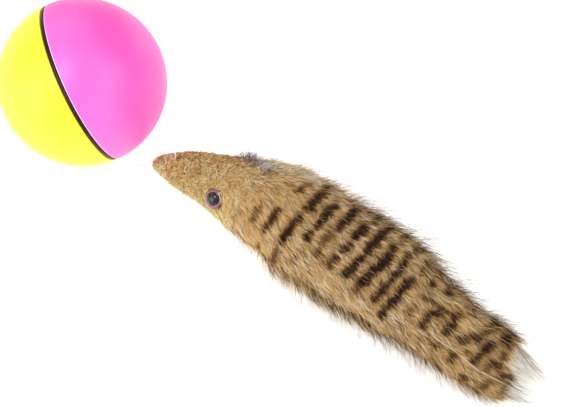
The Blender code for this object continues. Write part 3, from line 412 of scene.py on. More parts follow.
steel = drawn_metal("bright_steel", (0.66, 0.66, 0.68))
motor_steel = drawn_metal("motor_can_steel", (0.58, 0.58, 0.60), 0.32, (8, 1, 1))
brass = drawn_metal("turned_brass", (0.78, 0.58, 0.27))
gear_white = moulded("white_gear_plastic", (0.74, 0.74, 0.70), 0.4)
case_grey = moulded("grey_case_plastic", (0.20, 0.21, 0.23), 0.5)
part_black = moulded("black_part_plastic", (0.012, 0.012, 0.014), 0.4)
cell_jacket = moulded("cell_jacket_film", (0.045, 0.055, 0.075), 0.25)
red_cover = moulded("red_wire_cover", (0.45, 0.015, 0.015), 0.4)
black_cover = moulded("black_wire_cover", (0.015, 0.015, 0.016), 0.4)
for look, solids in (
    (steel, ("drive_axle", "idle_pin", "battery_spring", "contact_plate", "case_screw_1")),
    (steel, ("case_screw_2", "case_screw_3", "idler_pin_1", "idler_pin_2")),
    (motor_steel, ("motor_can",)),
    (brass, ("motor_armature", "motor_pinion")),
    (gear_white, ("output_gear", "idler_gear_1", "idler_gear_2", "switch_knob")),
    (case_grey, ("case_body", "case_lid", "battery_door")),
    (part_black, ("motor_end_bell", "switch_body")),
    (cell_jacket, ("battery_cell",)),
    (red_cover, ("wire_red",)),
    (black_cover, ("wire_black",)),
):
    for node in solids:
        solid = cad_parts[node]
        solid.data.materials.clear()
        solid.data.materials.append(look)


# The mouse's cloth
# Knitted backing cloth, cut and sewn to one long swelling form that tapers to the nose and the
# tail. It is made in five lengths.

# Middle line and half sizes of the whole furry form, from nose to tail, in millimetres
stations = (
    (-72.75, -2.3, 8.0, 0.4, 0.4), (-72.03, -2.09, 8.1, 2.6, 2.2), (-70.06, -1.56, 8.4, 4.7, 4.0),
    (-66.46, -0.65, 9.0, 6.5, 5.6), (-59.98, 0.7, 10.1, 8.9, 7.0), (-53.23, 1.8, 11.2, 10.9, 8.9),
    (-46.55, 2.6, 12.2, 11.9, 10.7), (-39.87, 3.2, 13.3, 13.3, 12.6),
    (-33.06, 3.6, 14.4, 14.7, 13.9), (-26.64, 3.8, 15.5, 16.2, 14.9),
    (-20.35, 3.95, 16.5, 18.0, 16.0), (-13.0, 4.0, 17.7, 20.0, 17.4),
    (-5.96, 4.0, 18.7, 21.6, 18.6), (-1.75, 4.2, 19.2, 22.7, 19.2), (10.64, 3.0, 19.6, 24.0, 19.8),
    (22.68, 2.4, 19.5, 24.0, 19.8), (34.12, 1.8, 19.5, 23.8, 19.8), (45.64, 1.6, 19.5, 24.0, 19.8),
    (57.16, 1.7, 18.7, 23.1, 19.0), (68.17, 1.0, 17.8, 22.2, 18.0), (75.91, 0.0, 16.6, 20.6, 16.6),
    (82.5, -0.9, 15.6, 19.0, 15.3), (89.77, -1.5, 14.9, 18.1, 14.5),
    (100.94, -2.9, 13.7, 18.1, 13.3), (111.65, -3.1, 12.6, 18.2, 12.2),
    (122.74, -3.1, 11.0, 17.5, 10.6), (133.07, -2.9, 9.0, 14.0, 8.6), (143.78, -2.3, 6.0, 8.2, 5.6),
    (151.43, -1.2, 3.1, 3.9, 2.7), (155.2, -1.2, 2.0, 0.5, 0.5),
)  # fmt: skip
form = np.array(stations) * MM
neck_low, neck_high = -0.020, 0.006
rump_low, rump_high = 0.066, 0.092
nose_end, tail_cloth_end = -0.0727, 0.123
form_smoothing = 0.003
sharp_nose, nose_fade = 0.002, 0.008
form_step = 0.0005
form_thinnest = 0.2 * MM
cloth_sides = 72
cloth_row = 0.002
cloth_lowest = 0.5 * MM
drawn_together = (0.35, 0.72, 0.92)


def unit(rows):
    return rows / np.maximum(np.linalg.norm(rows, axis=-1, keepdims=True), 1e-12)


def section(x):
    """The form's middle and half sizes at places along it, smooth but for the nose's tip."""
    soft = np.clip((x - nose_end - sharp_nose) / nose_fade, 0, 1)
    sizes = []
    for column in range(1, 5):
        before, here, after = (
            np.interp(x + shift, form[:, 0], form[:, column])
            for shift in (-form_smoothing, 0.0, form_smoothing)
        )
        sizes.append(here + ((before + 2 * here + after) / 4 - here) * soft)
    return sizes


def on_form(x, turn, inset=0.0):
    """Places on the form, with the ways out, along and round. A turn of 0 is on top, and it
    grows towards +Y."""
    y, z, wide, high = section(x)
    ahead = section(x + form_step)
    sine, cosine = np.sin(turn), np.cos(turn)
    wide_in = np.maximum(wide - inset, form_thinnest)
    high_in = np.maximum(high - inset, form_thinnest)
    place = np.stack([x, y + wide_in * sine, z + high_in * cosine], -1)
    run_y = ahead[0] - y + (ahead[2] - wide) * sine
    run_z = ahead[1] - z + (ahead[3] - high) * cosine
    along = np.stack([np.full_like(x, form_step), run_y, run_z], -1)
    round_ = np.stack([np.zeros_like(x), wide * cosine, -high * sine], -1)
    return place, unit(np.cross(along, round_)), unit(along), unit(round_)


def cloth_length(name, low, high, inset, look, closed_ends=()):
    """One length of the cloth as a smooth tube. Closed ends, 0 or -1, are drawn together."""
    count = max(8, round((high - low) / cloth_row))
    turns = np.linspace(0, math.tau, cloth_sides, endpoint=False)
    grid_x, grid_turn = np.meshgrid(np.linspace(low, high, count), turns, indexing="ij")
    points = on_form(grid_x.ravel(), grid_turn.ravel(), inset)[0].reshape(count, cloth_sides, 3)
    for end in closed_ends:
        for ring_row, share in zip(points if end == 0 else points[::-1], drawn_together):
            middle = ring_row.mean(0)
            ring_row[:] = middle + (ring_row - middle) * share
    points[..., 2] = np.maximum(points[..., 2], cloth_lowest)
    work = bmesh.new()
    grid = [[work.verts.new(point) for point in ring_row] for ring_row in points]
    sides = [(side, (side + 1) % cloth_sides) for side in range(cloth_sides)]
    for near, far in zip(grid, grid[1:]):
        for side, after in sides:
            work.faces.new((near[side], near[after], far[after], far[side]))
    for end in closed_ends:
        tip = work.verts.new(points[end].mean(0))
        for side, after in sides:
            work.faces.new((grid[end][side], grid[end][after], tip))
    mesh = closed_mesh(name, work)
    mesh.shade_smooth()
    return piece(name, mesh, look)


backing = surface("knitted_backing_cloth", 0.95)
mottle(backing, (0.10, 0.055, 0.022), (0.26, 0.155, 0.065), scale=700.0)
grain(backing, scale=1500.0, strength=0.9, depth=0.0003)

head_cloth = cloth_length("head_cloth", nose_end + 0.001, neck_low, 0.0014, backing, (0,))
neck_cloth = cloth_length("neck_cloth", neck_low, neck_high, 0.0020, backing)
body_cloth = cloth_length("body_cloth", neck_high, rump_low, 0.0026, backing)
rump_cloth = cloth_length("rump_cloth", rump_low, rump_high, 0.0026, backing)
tail_cloth = cloth_length("tail_cloth", rump_high, tail_cloth_end, 0.0028, backing, (-1,))
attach(head_cloth, "mouse_head")
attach(body_cloth, "mouse_body")
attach(tail_cloth, "mouse_tail")
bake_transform(neck_cloth)
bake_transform(rump_cloth)
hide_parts("head_skin")
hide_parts("body_skin")
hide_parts("tail_skin")


# The stuffing
# Loose polyester fibre, pushed into the head, the body and the tail, which fills the cloth in
# soft lumps.

lump_depth = 0.0008
lump_waves = 420
lump_draw = np.random.default_rng(11)
fibre = surface("polyester_fibre", 1.0)
mottle(fibre, (0.70, 0.70, 0.67), (0.92, 0.92, 0.90), scale=260.0)
grain(fibre, scale=900.0, strength=1.0, depth=0.0006)
for name, low, high, inset, body, node in (
    ("head_filling", -0.068, -0.022, 0.0036, "mouse_head", "head_stuffing"),
    ("body_filling", 0.008, 0.064, 0.0052, "mouse_body", "body_stuffing"),
    ("tail_filling", 0.094, 0.122, 0.0052, "mouse_tail", "tail_stuffing"),
):
    filling = cloth_length(name, low, high, inset, fibre, (0, -1))
    spots = np.empty(len(filling.data.vertices) * 3)
    filling.data.vertices.foreach_get("co", spots)
    spots = spots.reshape(-1, 3)
    waves = lump_draw.normal(0, lump_waves, (6, 3))
    lumps = np.sin(spots @ waves.T + lump_draw.uniform(0, 6, 6)).sum(1) / 6
    middle = np.stack([spots[:, 0], *section(spots[:, 0])[:2]], -1)
    spots += unit(spots - middle) * (lumps[:, None] * lump_depth - lump_depth)
    filling.data.vertices.foreach_set("co", spots.ravel())
    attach(filling, body)
    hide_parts(node)


# The eyes
# Moulded safety eyes: a clear red-brown rim round a raised black pupil, with a shank through the
# cloth and a toothed washer pushed on from inside.

eye_places = {
    "left": ((-29.79, -9.52, 22.64), (-0.215, -0.837, 0.503)),
    "right": ((-29.79, 16.97, 7.35), (-0.215, 0.819, -0.533)),
}
eye_tip = {"left": Vector((0.12, 0.02, 0.32)), "right": Vector((0.12, -0.02, -0.32))}
eye_radius = 5.3 * MM
eye_sink = 0.2 * MM
eye_crease = math.radians(50)
# Profiles of (radius, height), in millimetres
rim_profile = (
    (0, -4.0), (1.3, -4.0), (1.3, -0.8), (5.0, -0.8), (5.25, -0.6), (5.3, -0.3), (5.25, 0.1),
    (5.05, 0.5), (4.7, 0.9), (4.3, 1.2), (3.9, 1.38), (3.5, 1.42), (3.3, 1.38), (3.16, 1.2),
    (0, 1.2),
)  # fmt: skip
pupil_profile = (
    (0, 1.26), (3.05, 1.26), (3.12, 1.4), (3.05, 1.65), (2.8, 1.95), (2.4, 2.25), (1.85, 2.5),
    (1.25, 2.66), (0.62, 2.76), (0, 2.79),
)  # fmt: skip
washer_profile = ((1.6, -3.4), (3.1, -3.4), (3.2, -3.3), (3.2, -2.7), (3.1, -2.6), (1.6, -2.6))

rim_look = surface("clear_brown_rim", 0.12, (("Coat Weight", 0.5), ("Coat Roughness", 0.08)))
nodes, links, shader = inside(rim_look)
rim_map = nodes.new("ShaderNodeUVMap")
rim_map.uv_map = "rim"
split = nodes.new("ShaderNodeSeparateXYZ")
noise = nodes.new("ShaderNodeTexNoise")
noise.inputs["Scale"].default_value = 9.0
ripple = nodes.new("ShaderNodeMath")
ripple.operation = "MULTIPLY_ADD"
ripple.inputs[1].default_value = 0.18
ramp = colour_ramp(
    nodes,
    (
        (0.56, (0.010, 0.003, 0.004)),
        (0.68, (0.060, 0.014, 0.014)),
        (0.80, (0.170, 0.050, 0.050)),
        (0.92, (0.240, 0.095, 0.095)),
        (0.99, (0.060, 0.015, 0.015)),
    ),
)
links.new(rim_map.outputs["UV"], split.inputs["Vector"])
links.new(rim_map.outputs["UV"], noise.inputs["Vector"])
links.new(noise.outputs["Fac"], ripple.inputs[0])
links.new(split.outputs["Y"], ripple.inputs[2])
links.new(ripple.outputs["Value"], ramp.inputs["Fac"])
links.new(ramp.outputs["Color"], shader.inputs["Base Color"])

pupil_look = surface("black_pupil", 0.08, (("Specular IOR Level", 0.42),))
mottle(pupil_look, (0.004, 0.004, 0.005), (0.012, 0.012, 0.014), scale=400.0)
washer_look = moulded("white_washer_plastic", (0.72, 0.72, 0.70), 0.45)


def eye_piece(name, profile, sides, look, closed=False):
    return turned(name, [(r * MM, h * MM) for r, h in profile], sides, look, closed)


for side, (place, out) in eye_places.items():
    out = (Vector(out).normalized() + eye_tip[side]).normalized()
    facing = out.to_track_quat("Z", "Y").to_matrix().to_4x4()
    stand = Matrix.Translation(Vector(place) * MM - out * eye_sink) @ facing
    rim = eye_piece(f"{side}_eye_rim", rim_profile, 64, rim_look)
    pupil = eye_piece(f"{side}_eye_pupil", pupil_profile, 48, pupil_look)
    washer = eye_piece(f"{side}_washer", washer_profile, 40, washer_look, closed=True)
    uv = rim.data.uv_layers.new(name="rim")
    for loop in rim.data.loops:
        x, y, _ = rim.data.vertices[loop.vertex_index].co
        turn = math.atan2(y, x) / math.tau + 0.5
        uv.data[loop.index].uv = (turn, math.hypot(x, y) / eye_radius)
    rim.data.set_sharp_from_angle(angle=eye_crease)
    for made, node, slot in (
        (rim, f"{side}_eye", "brown_eye"),
        (pupil, f"{side}_pupil", "black_plastic"),
        (washer, f"{side}_eye_washer", "white_plastic"),
    ):
        made.data.transform(stand)
        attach(made, "mouse_head")
        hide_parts(node)


# The head's plush
# Short curly acrylic plush, combed no way in particular, thin at the nose and longer at the
# cheeks. Each hair is a thin tapered ribbon that stands in the backing cloth.

plush_inset = 0.0012
eye_bare = 5.0 * MM
# Steps that spread places evenly in two ways at once, and how far a hair strays from them
even_step_along, even_step_round = 0.7548776662, 0.5698402910
stray_along, stray_round = 0.15 * MM, 0.01
# How low a hair's middle line and its edges may come to the floor
line_lowest, edge_lowest = 0.25 * MM, 0.1 * MM


def rising(value, start, run):
    """A share that goes from 0 at the start to 1 a run further on; a run may go down too."""
    return np.clip((value - start) / run, 0, 1)


def wander(a, b, seed):
    """Smooth noise over two coordinates, mostly from -1 to 1."""
    draw = np.random.default_rng(seed)
    total = np.zeros_like(a)
    for _ in range(7):
        way, phase = draw.normal(0, 1, 2), draw.uniform(0, math.tau)
        total += np.sin(way[0] * a + way[1] * b + phase)
    return total / 4.5


def even_roots(count, low, high, seed):
    """Places of hairs, spread evenly over a length of the form, and the draw that made them."""
    draw = np.random.default_rng(seed)
    xs = np.linspace(low, high, 200)
    girth = section(xs)[2] + section(xs)[3]
    share = np.cumsum(girth)
    share = (share - share[0]) / (share[-1] - share[0])
    order = np.arange(count)
    x = np.interp((order * even_step_along + draw.uniform()) % 1.0, share, xs)
    turn = ((order * even_step_round + draw.uniform()) % 1.0) * math.tau - math.pi
    return x + draw.normal(0, stray_along, count), turn + draw.normal(0, stray_round, count), draw


def thinned(roots, keep):
    x, turn, draw = roots
    return x[keep], turn[keep], draw


def clear_of_eyes(roots):
    x, turn, _ = roots
    spots = on_form(x, turn)[0]
    keep = np.ones(len(x), bool)
    for eye, _ in eye_places.values():
        keep &= np.linalg.norm(spots - np.array(eye) * MM, axis=1) > eye_bare
    return thinned(roots, keep)


def bunches(roots, inset, every):
    """Hairs that stick together: for each hair, the one in the middle of its bunch."""
    x, turn, _ = roots
    spots = on_form(x, turn, inset)[0]
    middles = np.arange(0, len(x), every)
    tree = kdtree.KDTree(len(middles))
    for index, middle in enumerate(middles):
        tree.insert(spots[middle], index)
    tree.balance()
    return np.array([middles[tree.find(spot)[1]] for spot in spots])


def hairs(
    name, roots, look, length, width, lift, comb, tone, rings, curl, inset, bunch=None, pull=0.0,
    sag=0.0, spread=0.35, flat=0.45, rise=2.2, tone_at=None,
):  # fmt: skip
    """Makes one piece of many hairs. comb is each hair's way round from straight along."""
    x, turn, draw = roots
    count = len(x)
    root, out, along, round_ = on_form(x, turn, inset)
    way = unit(along * np.cos(comb)[:, None] + round_ * np.sin(comb)[:, None])
    aside = np.cross(out, way)
    steps = np.linspace(0, 1, rings + 1)
    curl_phase = draw.uniform(0, math.tau, count)
    curl_turns = draw.uniform(0.6, 1.6, count)
    spine = np.empty((rings + 1, count, 3))
    for row, t in enumerate(steps):
        bend = np.cos(curl_phase + curl_turns * math.tau * t) - np.cos(curl_phase)
        bend = curl * length * bend
        height = lift * (1 - (1 - t) ** rise)
        spine[row] = root + way * (length * t)[:, None] + out * height[:, None]
        spine[row] += aside * bend[:, None]
        spine[row, :, 2] -= sag * length * t * t
    if bunch is not None:
        pulls = pull * draw.uniform(0.4, 1.4, count)
        for row, t in enumerate(steps):
            spine[row] += (spine[row][bunch] - spine[row]) * (pulls * t**1.4)[:, None]
    spine[..., 2] = np.maximum(spine[..., 2], line_lowest)

    roll = draw.uniform(-spread, spread, count)[:, None] * math.pi
    points = np.empty((count, 2 * rings + 1, 3))
    normals = np.empty((count, 2 * rings + 1, 3))
    ahead = np.gradient(spine, axis=0)
    for row in range(rings):
        go = unit(ahead[row])
        side = unit(np.cross(out, go))
        side = side * np.cos(roll) + np.cross(go, side) * np.sin(roll)
        face = unit(np.cross(go, side))
        half = (width / 2 * (1 - steps[row] ** 2) ** 0.5)[:, None]
        soft = unit(out * flat + face * (1 - flat))
        for edge, hand in ((2 * row, -1), (2 * row + 1, 1)):
            points[:, edge] = spine[row] + hand * side * half
            normals[:, edge] = unit(soft + hand * side * 0.25)
    points[:, -1] = spine[-1]
    normals[:, -1] = normals[:, -2]
    points[..., 2] = np.maximum(points[..., 2], edge_lowest)
    faces = []
    for a in range(0, 2 * rings - 2, 2):
        faces += [(a, a + 3, a + 1), (a, a + 2, a + 3)]
    faces.append((2 * rings - 2, 2 * rings, 2 * rings - 1))
    every = (np.arange(count) * (2 * rings + 1))[:, None, None] + np.array(faces)[None]
    mesh = bpy.data.meshes.new(name)
    mesh.from_pydata(points.reshape(-1, 3).tolist(), [], every.reshape(-1, 3).tolist())

    tones = np.repeat(tone[None], rings + 1, 0)
    if tone_at is not None:
        tones = tone_at(spine, tone, draw, bunch)
    tones = np.clip(tones, 0.01, 0.99)
    pattern = np.empty((count, 2 * rings + 1, 2))
    for row in range(rings):
        pattern[:, 2 * row, 0] = tones[row] - 0.004
        pattern[:, 2 * row + 1, 0] = tones[row] + 0.004
        pattern[:, 2 * row : 2 * row + 2, 1] = 0.02 + 0.96 * steps[row]
    pattern[:, -1] = np.stack([tones[-1], np.full(count, 0.98)], -1)
    uv = mesh.uv_layers.new(name="OFBake")
    uv.data.foreach_set("uv", pattern.reshape(-1, 2)[every.ravel()].ravel())
    mesh.shade_smooth()
    mesh.normals_split_custom_set_from_vertices(normals.reshape(-1, 3).tolist())
    return piece(name, mesh, look)


def pile_colours(name, stops, root=(0.36, 0.27, 0.22)):
    """A dyed pile: the map's width is a row of dye shades, and its height is root to tip."""
    look = surface(name, 0.72, (("Specular IOR Level", 0.05),))
    nodes, links, shader = inside(look)
    place = nodes.new("ShaderNodeUVMap")
    place.uv_map = "OFBake"
    split = nodes.new("ShaderNodeSeparateXYZ")
    white = (1.0, 1.0, 1.0)
    shades = colour_ramp(nodes, stops)
    # Painted shade: each hair is darker towards its root, deep in the pile where it shades itself
    depth = colour_ramp(nodes, ((0.0, root), (0.4, (0.86, 0.83, 0.80)), (1.0, white)))
    faint = colour_ramp(nodes, ((0.3, (0.80, 0.80, 0.80)), (0.7, white)))
    streaks = nodes.new("ShaderNodeTexNoise")
    streaks.inputs["Scale"].default_value = 1.0
    stretch = nodes.new("ShaderNodeMapping")
    stretch.inputs["Scale"].default_value = (260.0, 5.0, 1.0)
    first, second = nodes.new("ShaderNodeMix"), nodes.new("ShaderNodeMix")
    for mix in (first, second):
        mix.data_type = "RGBA"
        mix.blend_type = "MULTIPLY"
        mix.inputs["Factor"].default_value = 1.0
    links.new(place.outputs["UV"], split.inputs["Vector"])
    links.new(place.outputs["UV"], stretch.inputs["Vector"])
    links.new(stretch.outputs["Vector"], streaks.inputs["Vector"])
    links.new(split.outputs["X"], shades.inputs["Fac"])
    links.new(split.outputs["Y"], depth.inputs["Fac"])
    links.new(streaks.outputs["Fac"], faint.inputs["Fac"])
    links.new(shades.outputs["Color"], first.inputs["A"])
    links.new(depth.outputs["Color"], first.inputs["B"])
    links.new(first.outputs["Result"], second.inputs["A"])
    links.new(faint.outputs["Color"], second.inputs["B"])
    links.new(second.outputs["Result"], shader.inputs["Base Color"])
    return look


plush_shades = pile_colours(
    "tan_plush",
    (
        (0.00, (0.060, 0.026, 0.012)),
        (0.28, (0.400, 0.200, 0.075)),
        (0.46, (0.800, 0.470, 0.175)),
        (0.60, (0.960, 0.640, 0.260)),
        (0.74, (0.980, 0.760, 0.320)),
        (0.88, (0.980, 0.850, 0.440)),
        (1.00, (0.980, 0.920, 0.660)),
    ),
    # Less painted shade at the roots of the short plush
    root=(0.60, 0.48, 0.36),
)

roots = clear_of_eyes(even_roots(38000, nose_end + 0.0004, neck_low, seed=21))
x, turn, draw = roots
count = len(x)
degrees = np.degrees(turn)
bunch = bunches(roots, plush_inset, every=8)
cheek = rising(x, -0.040, 0.020)
nose = rising(x, -0.058, -0.010)
under = rising(np.abs(degrees), 55, 55)
length = (2.3 + 4.6 * cheek - 0.9 * nose) * MM * draw.uniform(0.7, 1.3, count)
comb = draw.normal(0, 1.5, count) * (1 - cheek) + draw.normal(-0.15, 0.35, count) * cheek
patch = wander(x / MM * 0.55, degrees * 0.12, 31)
tone = 0.63 + 0.06 * patch + draw.normal(0, 0.13, count) + draw.normal(0, 0.19, count)[bunch]
# Paler underside and nose: partly paler plush, partly painted light where they lie in shade
tone = tone + 0.30 * under + 0.24 * nose + np.where(draw.uniform(size=count) < 0.07, 0.15, 0.0)
stray = (draw.uniform(size=count) < 0.04) & (nose < 0.3)
lift = (1.7 + 0.7 * cheek - 0.5 * nose) * MM * draw.uniform(0.6, 1.2, count)
lift = lift * np.where(stray, 1.9, 1.0)
width = draw.uniform(0.17, 0.29, count) * MM
head_pile = hairs(
    "head_pile", roots, plush_shades, length, width, lift, comb, tone, rings=3, curl=0.2,
    inset=plush_inset, bunch=bunch, pull=0.55, flat=0.35,
)  # fmt: skip
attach(head_pile, "mouse_head")


# The long striped fur
# Long acrylic pile on the neck, the body and the tail, printed with dark brown stripes and combed
# to the tail and a little downwards. It is made in five lengths over the cloth's.

# The printed stripes: from place along and turn round, to place along and turn round, in
# millimetres and degrees, then half thickness in millimetres and how dark
stripes = (
    (-5.1, -52, -4.2, -28, 1.5, 0.65), (2.8, -54, 4.0, -20, 1.7, 0.85),
    (2.0, -90, 3.3, -71, 1.5, 0.7), (5.8, 8, 8.8, 30, 1.6, 0.75), (11.8, -94, 13.3, -62, 1.7, 0.75),
    (13.6, -52, 14.4, -14, 1.9, 0.95), (14.2, -12, 15.0, 2, 1.4, 0.55),
    (16.0, 2, 16.6, 50, 2.0, 0.95), (21.5, -33, 23.0, -20, 2.0, 1.0),
    (20.0, -76, 22.3, -57, 1.5, 0.5), (24.2, -14, 25.0, 27, 1.9, 0.95),
    (30.0, -42, 32.0, -24, 1.7, 0.7), (30.4, -24, 31.6, -8, 1.8, 0.75),
    (32.6, -4, 34.0, 42, 2.0, 1.0), (38.2, -45, 40.4, -27, 1.8, 0.8),
    (40.6, -21, 42.6, -7, 1.9, 0.85), (42.0, 0, 42.9, 24, 2.2, 1.0), (43.4, 34, 44.0, 56, 1.8, 0.8),
    (47.0, -44, 49.8, -14, 2.1, 1.0), (50.0, -8, 50.6, 22, 2.2, 1.0),
    (50.2, 24, 50.8, 56, 2.0, 0.85), (54.6, -54, 55.8, -40, 1.6, 0.6),
    (55.7, -37, 59.0, 0, 2.2, 1.0), (58.8, 0, 58.4, 22, 2.1, 0.95), (59.0, 32, 60.0, 58, 1.8, 0.8),
    (63.8, -52, 67.0, -3, 1.8, 1.0), (66.8, -3, 65.8, 26, 1.7, 0.85),
    (67.0, 36, 68.5, 58, 1.7, 0.7), (69.4, -66, 72.2, -20, 1.7, 1.0),
    (72.2, -20, 74.3, 0, 1.7, 0.95), (74.5, 14, 75.5, 44, 1.6, 0.6),
    (88.0, -44, 88.0, -19, 1.6, 0.9), (88.2, -19, 93.2, 0, 1.6, 0.9), (93.2, 0, 98.8, 4, 1.6, 0.85),
    (98.8, 4, 99.4, -12, 1.6, 0.9), (99.2, -12, 97.4, -28, 1.6, 0.85),
    (80.0, -38, 81.2, -21, 1.4, 0.5), (81.2, 16, 82.2, 25, 1.8, 0.9),
    (81.5, -6, 90.2, -1, 1.5, 0.65), (89.4, 22, 90.6, 40, 1.7, 0.8), (98.4, 8, 99.2, 22, 1.6, 0.7),
    (105.8, -23, 109.2, 0, 1.8, 0.9), (111.4, 2, 115.2, 55, 1.8, 0.85),
    (114.4, -41, 116.6, -13, 1.9, 0.95), (116.6, -13, 118.8, 10, 1.9, 0.95),
    (121.4, 20, 122.8, 48, 1.9, 0.95), (121.0, -38, 123.2, -15, 1.6, 0.75),
    (113.4, -76, 116.8, -72, 1.8, 0.9), (124.0, -64, 125.8, -46, 1.5, 0.7),
    (105.4, -58, 107.2, -40, 1.6, 0.75), (96.0, -60, 97.6, -42, 1.3, 0.5),
    (132.0, -28, 137.5, -6, 2.0, 0.95), (132.0, -56, 133.6, -36, 1.4, 0.7),
    (122.0, -80, 124.6, -64, 1.4, 0.7), (126.2, -29, 125.2, 12, 1.6, 0.7),
    (103.0, 40, 104.0, 62, 1.6, 0.7), (81.0, 48, 82.0, 70, 1.5, 0.6),
    (126.0, 6, 127.6, 20, 1.7, 1.0), (123.0, 54, 124.4, 76, 1.7, 0.9),
    (133.0, -62, 134.8, -46, 1.8, 1.0), (100.8, 34, 104.6, 37, 1.6, 0.9),
    (107.8, 48, 109.4, 62, 1.5, 0.8), (128.6, -40, 130.2, -24, 1.5, 0.9),
    (111.4, -6, 113.4, 6, 1.5, 0.8), (104.6, -64, 107.0, -54, 1.5, 0.8),
    (109.0, -34, 111.4, -26, 1.3, 0.6),
)  # fmt: skip
# On the side away from these, plain rings go on to the belly
ring_places = (6.0, 15.5, 24.5, 33.5, 42.5, 51.0, 59.5, 68.0, 76.0, 85.0, 94.0, 103.0, 112.0, 121.0)
# Millimetres round the form to a degree of turn
degree_round = 0.35
# The dye ends before the tail's tip, in a bay on top: turns in degrees, places in millimetres
dye_end_turns = (-70, -59, -24, -15, -9, 20, 35, 50, 74)
dye_end_places = (134.0, 135.0, 137.0, 135.0, 126.5, 126.0, 126.5, 128.0, 132.0)

fur_shades = pile_colours(
    "dyed_fur",
    (
        (0.00, (0.016, 0.010, 0.012)),
        (0.14, (0.040, 0.020, 0.017)),
        (0.26, (0.150, 0.072, 0.032)),
        (0.40, (0.460, 0.240, 0.085)),
        (0.54, (0.830, 0.490, 0.185)),
        (0.66, (0.960, 0.635, 0.250)),
        (0.78, (0.980, 0.735, 0.365)),
        (0.88, (0.980, 0.830, 0.530)),
        (1.00, (0.980, 0.930, 0.800)),
    ),
)


def rounded_off(end_x, end_turn, half, run):
    """How far in a stripe's middle line ends, as a share of it, unless another stripe joins it."""
    ends_here = sum(
        abs(end_x - x) < 1.3 and abs(end_turn - turn) < 4
        for x1, turn1, x2, turn2, _, _ in stripes
        for x, turn in ((x1, turn1), (x2, turn2))
    )
    return min(0.4, 0.65 * half / math.sqrt(run)) if ends_here == 1 else 0.0


def printed(x, turn):
    """How dark the print is at places on the form: 0 is plain and 1 is the darkest stripe."""
    along, degrees = x / MM, np.degrees(turn)
    across = degree_round * degrees
    along = along + 0.7 * wander(along * 0.5, across * 0.5, 3)
    across = across + 0.8 * wander(along * 0.45, across * 0.45, 4)
    swell = 1.04 + 0.24 * wander(along * 0.7, across * 0.6, 6)
    fade = np.clip(1.15 + 0.3 * wander(along * 0.5, across * 0.35, 7), 0.75, 1)
    dark = np.zeros_like(along)
    for x1, turn1, x2, turn2, half, depth in stripes:
        y1, y2 = degree_round * turn1, degree_round * turn2
        run = max((x2 - x1) ** 2 + (y2 - y1) ** 2, 1e-9)
        first, last = rounded_off(x1, turn1, half, run), rounded_off(x2, turn2, half, run)
        part = ((along - x1) * (x2 - x1) + (across - y1) * (y2 - y1)) / run
        part = np.clip(part, first, 1 - last)
        far = np.hypot(along - x1 - part * (x2 - x1), across - y1 - part * (y2 - y1))
        stripe_dark = np.clip(1.0 - (far - half * swell + 0.3) / 0.9, 0, 1)
        dark = np.maximum(dark, depth * fade * stripe_dark)
    hidden = rising(np.abs(degrees + 12), 72, 10)
    broken = np.clip(0.75 + wander(along * 0.16, across * 0.22, 5), 0, 1)
    for place in ring_places:
        far = np.abs(along - place - 1.5 * np.sin(across * 0.15 + place))
        ring_dark = np.clip(1.0 - (far - 1.3) / 1.5, 0, 1) * hidden * broken
        dark = np.maximum(dark, 0.85 * ring_dark)
    belly = rising(np.abs(degrees), 140, 25)
    return dark * (1 - 0.8 * belly)


def shaded(spine, tone, draw, bunch):
    """Tones along each hair: its own, darkened by the print and pale past the dye's end."""
    count = spine.shape[1]
    shift = draw.normal(0, 0.35, count) + draw.normal(0, 0.5, count)[bunch]
    rows = []
    for row in spine:
        y, z, wide, high = section(row[:, 0])
        turn = np.arctan2((row[:, 1] - y) / wide, (row[:, 2] - z) / high)
        dye_end = np.interp(np.degrees(turn), dye_end_turns, dye_end_places)
        past = row[:, 0] / MM + 1.5 * shift - dye_end
        dark_tips = np.clip(1.3 - np.abs(past + 1.6) / 1.6, 0, 1)
        dark_tips = dark_tips * np.clip(0.8 + wander(9 * turn, turn, 8), 0, 1)
        dark = np.maximum(printed(row[:, 0] + shift * MM, turn), 0.95 * dark_tips)
        dyed = tone + (0.11 + 0.25 * (tone - 0.55) - tone) * dark
        rows.append(dyed + (0.98 - dyed) * rising(past, 0, 1.5))
    return np.array(rows)


def hump(degrees, centre, width):
    """A share that is 1 at one turn and falls off on both sides of it."""
    return np.exp(-(((degrees - centre) / width) ** 2))


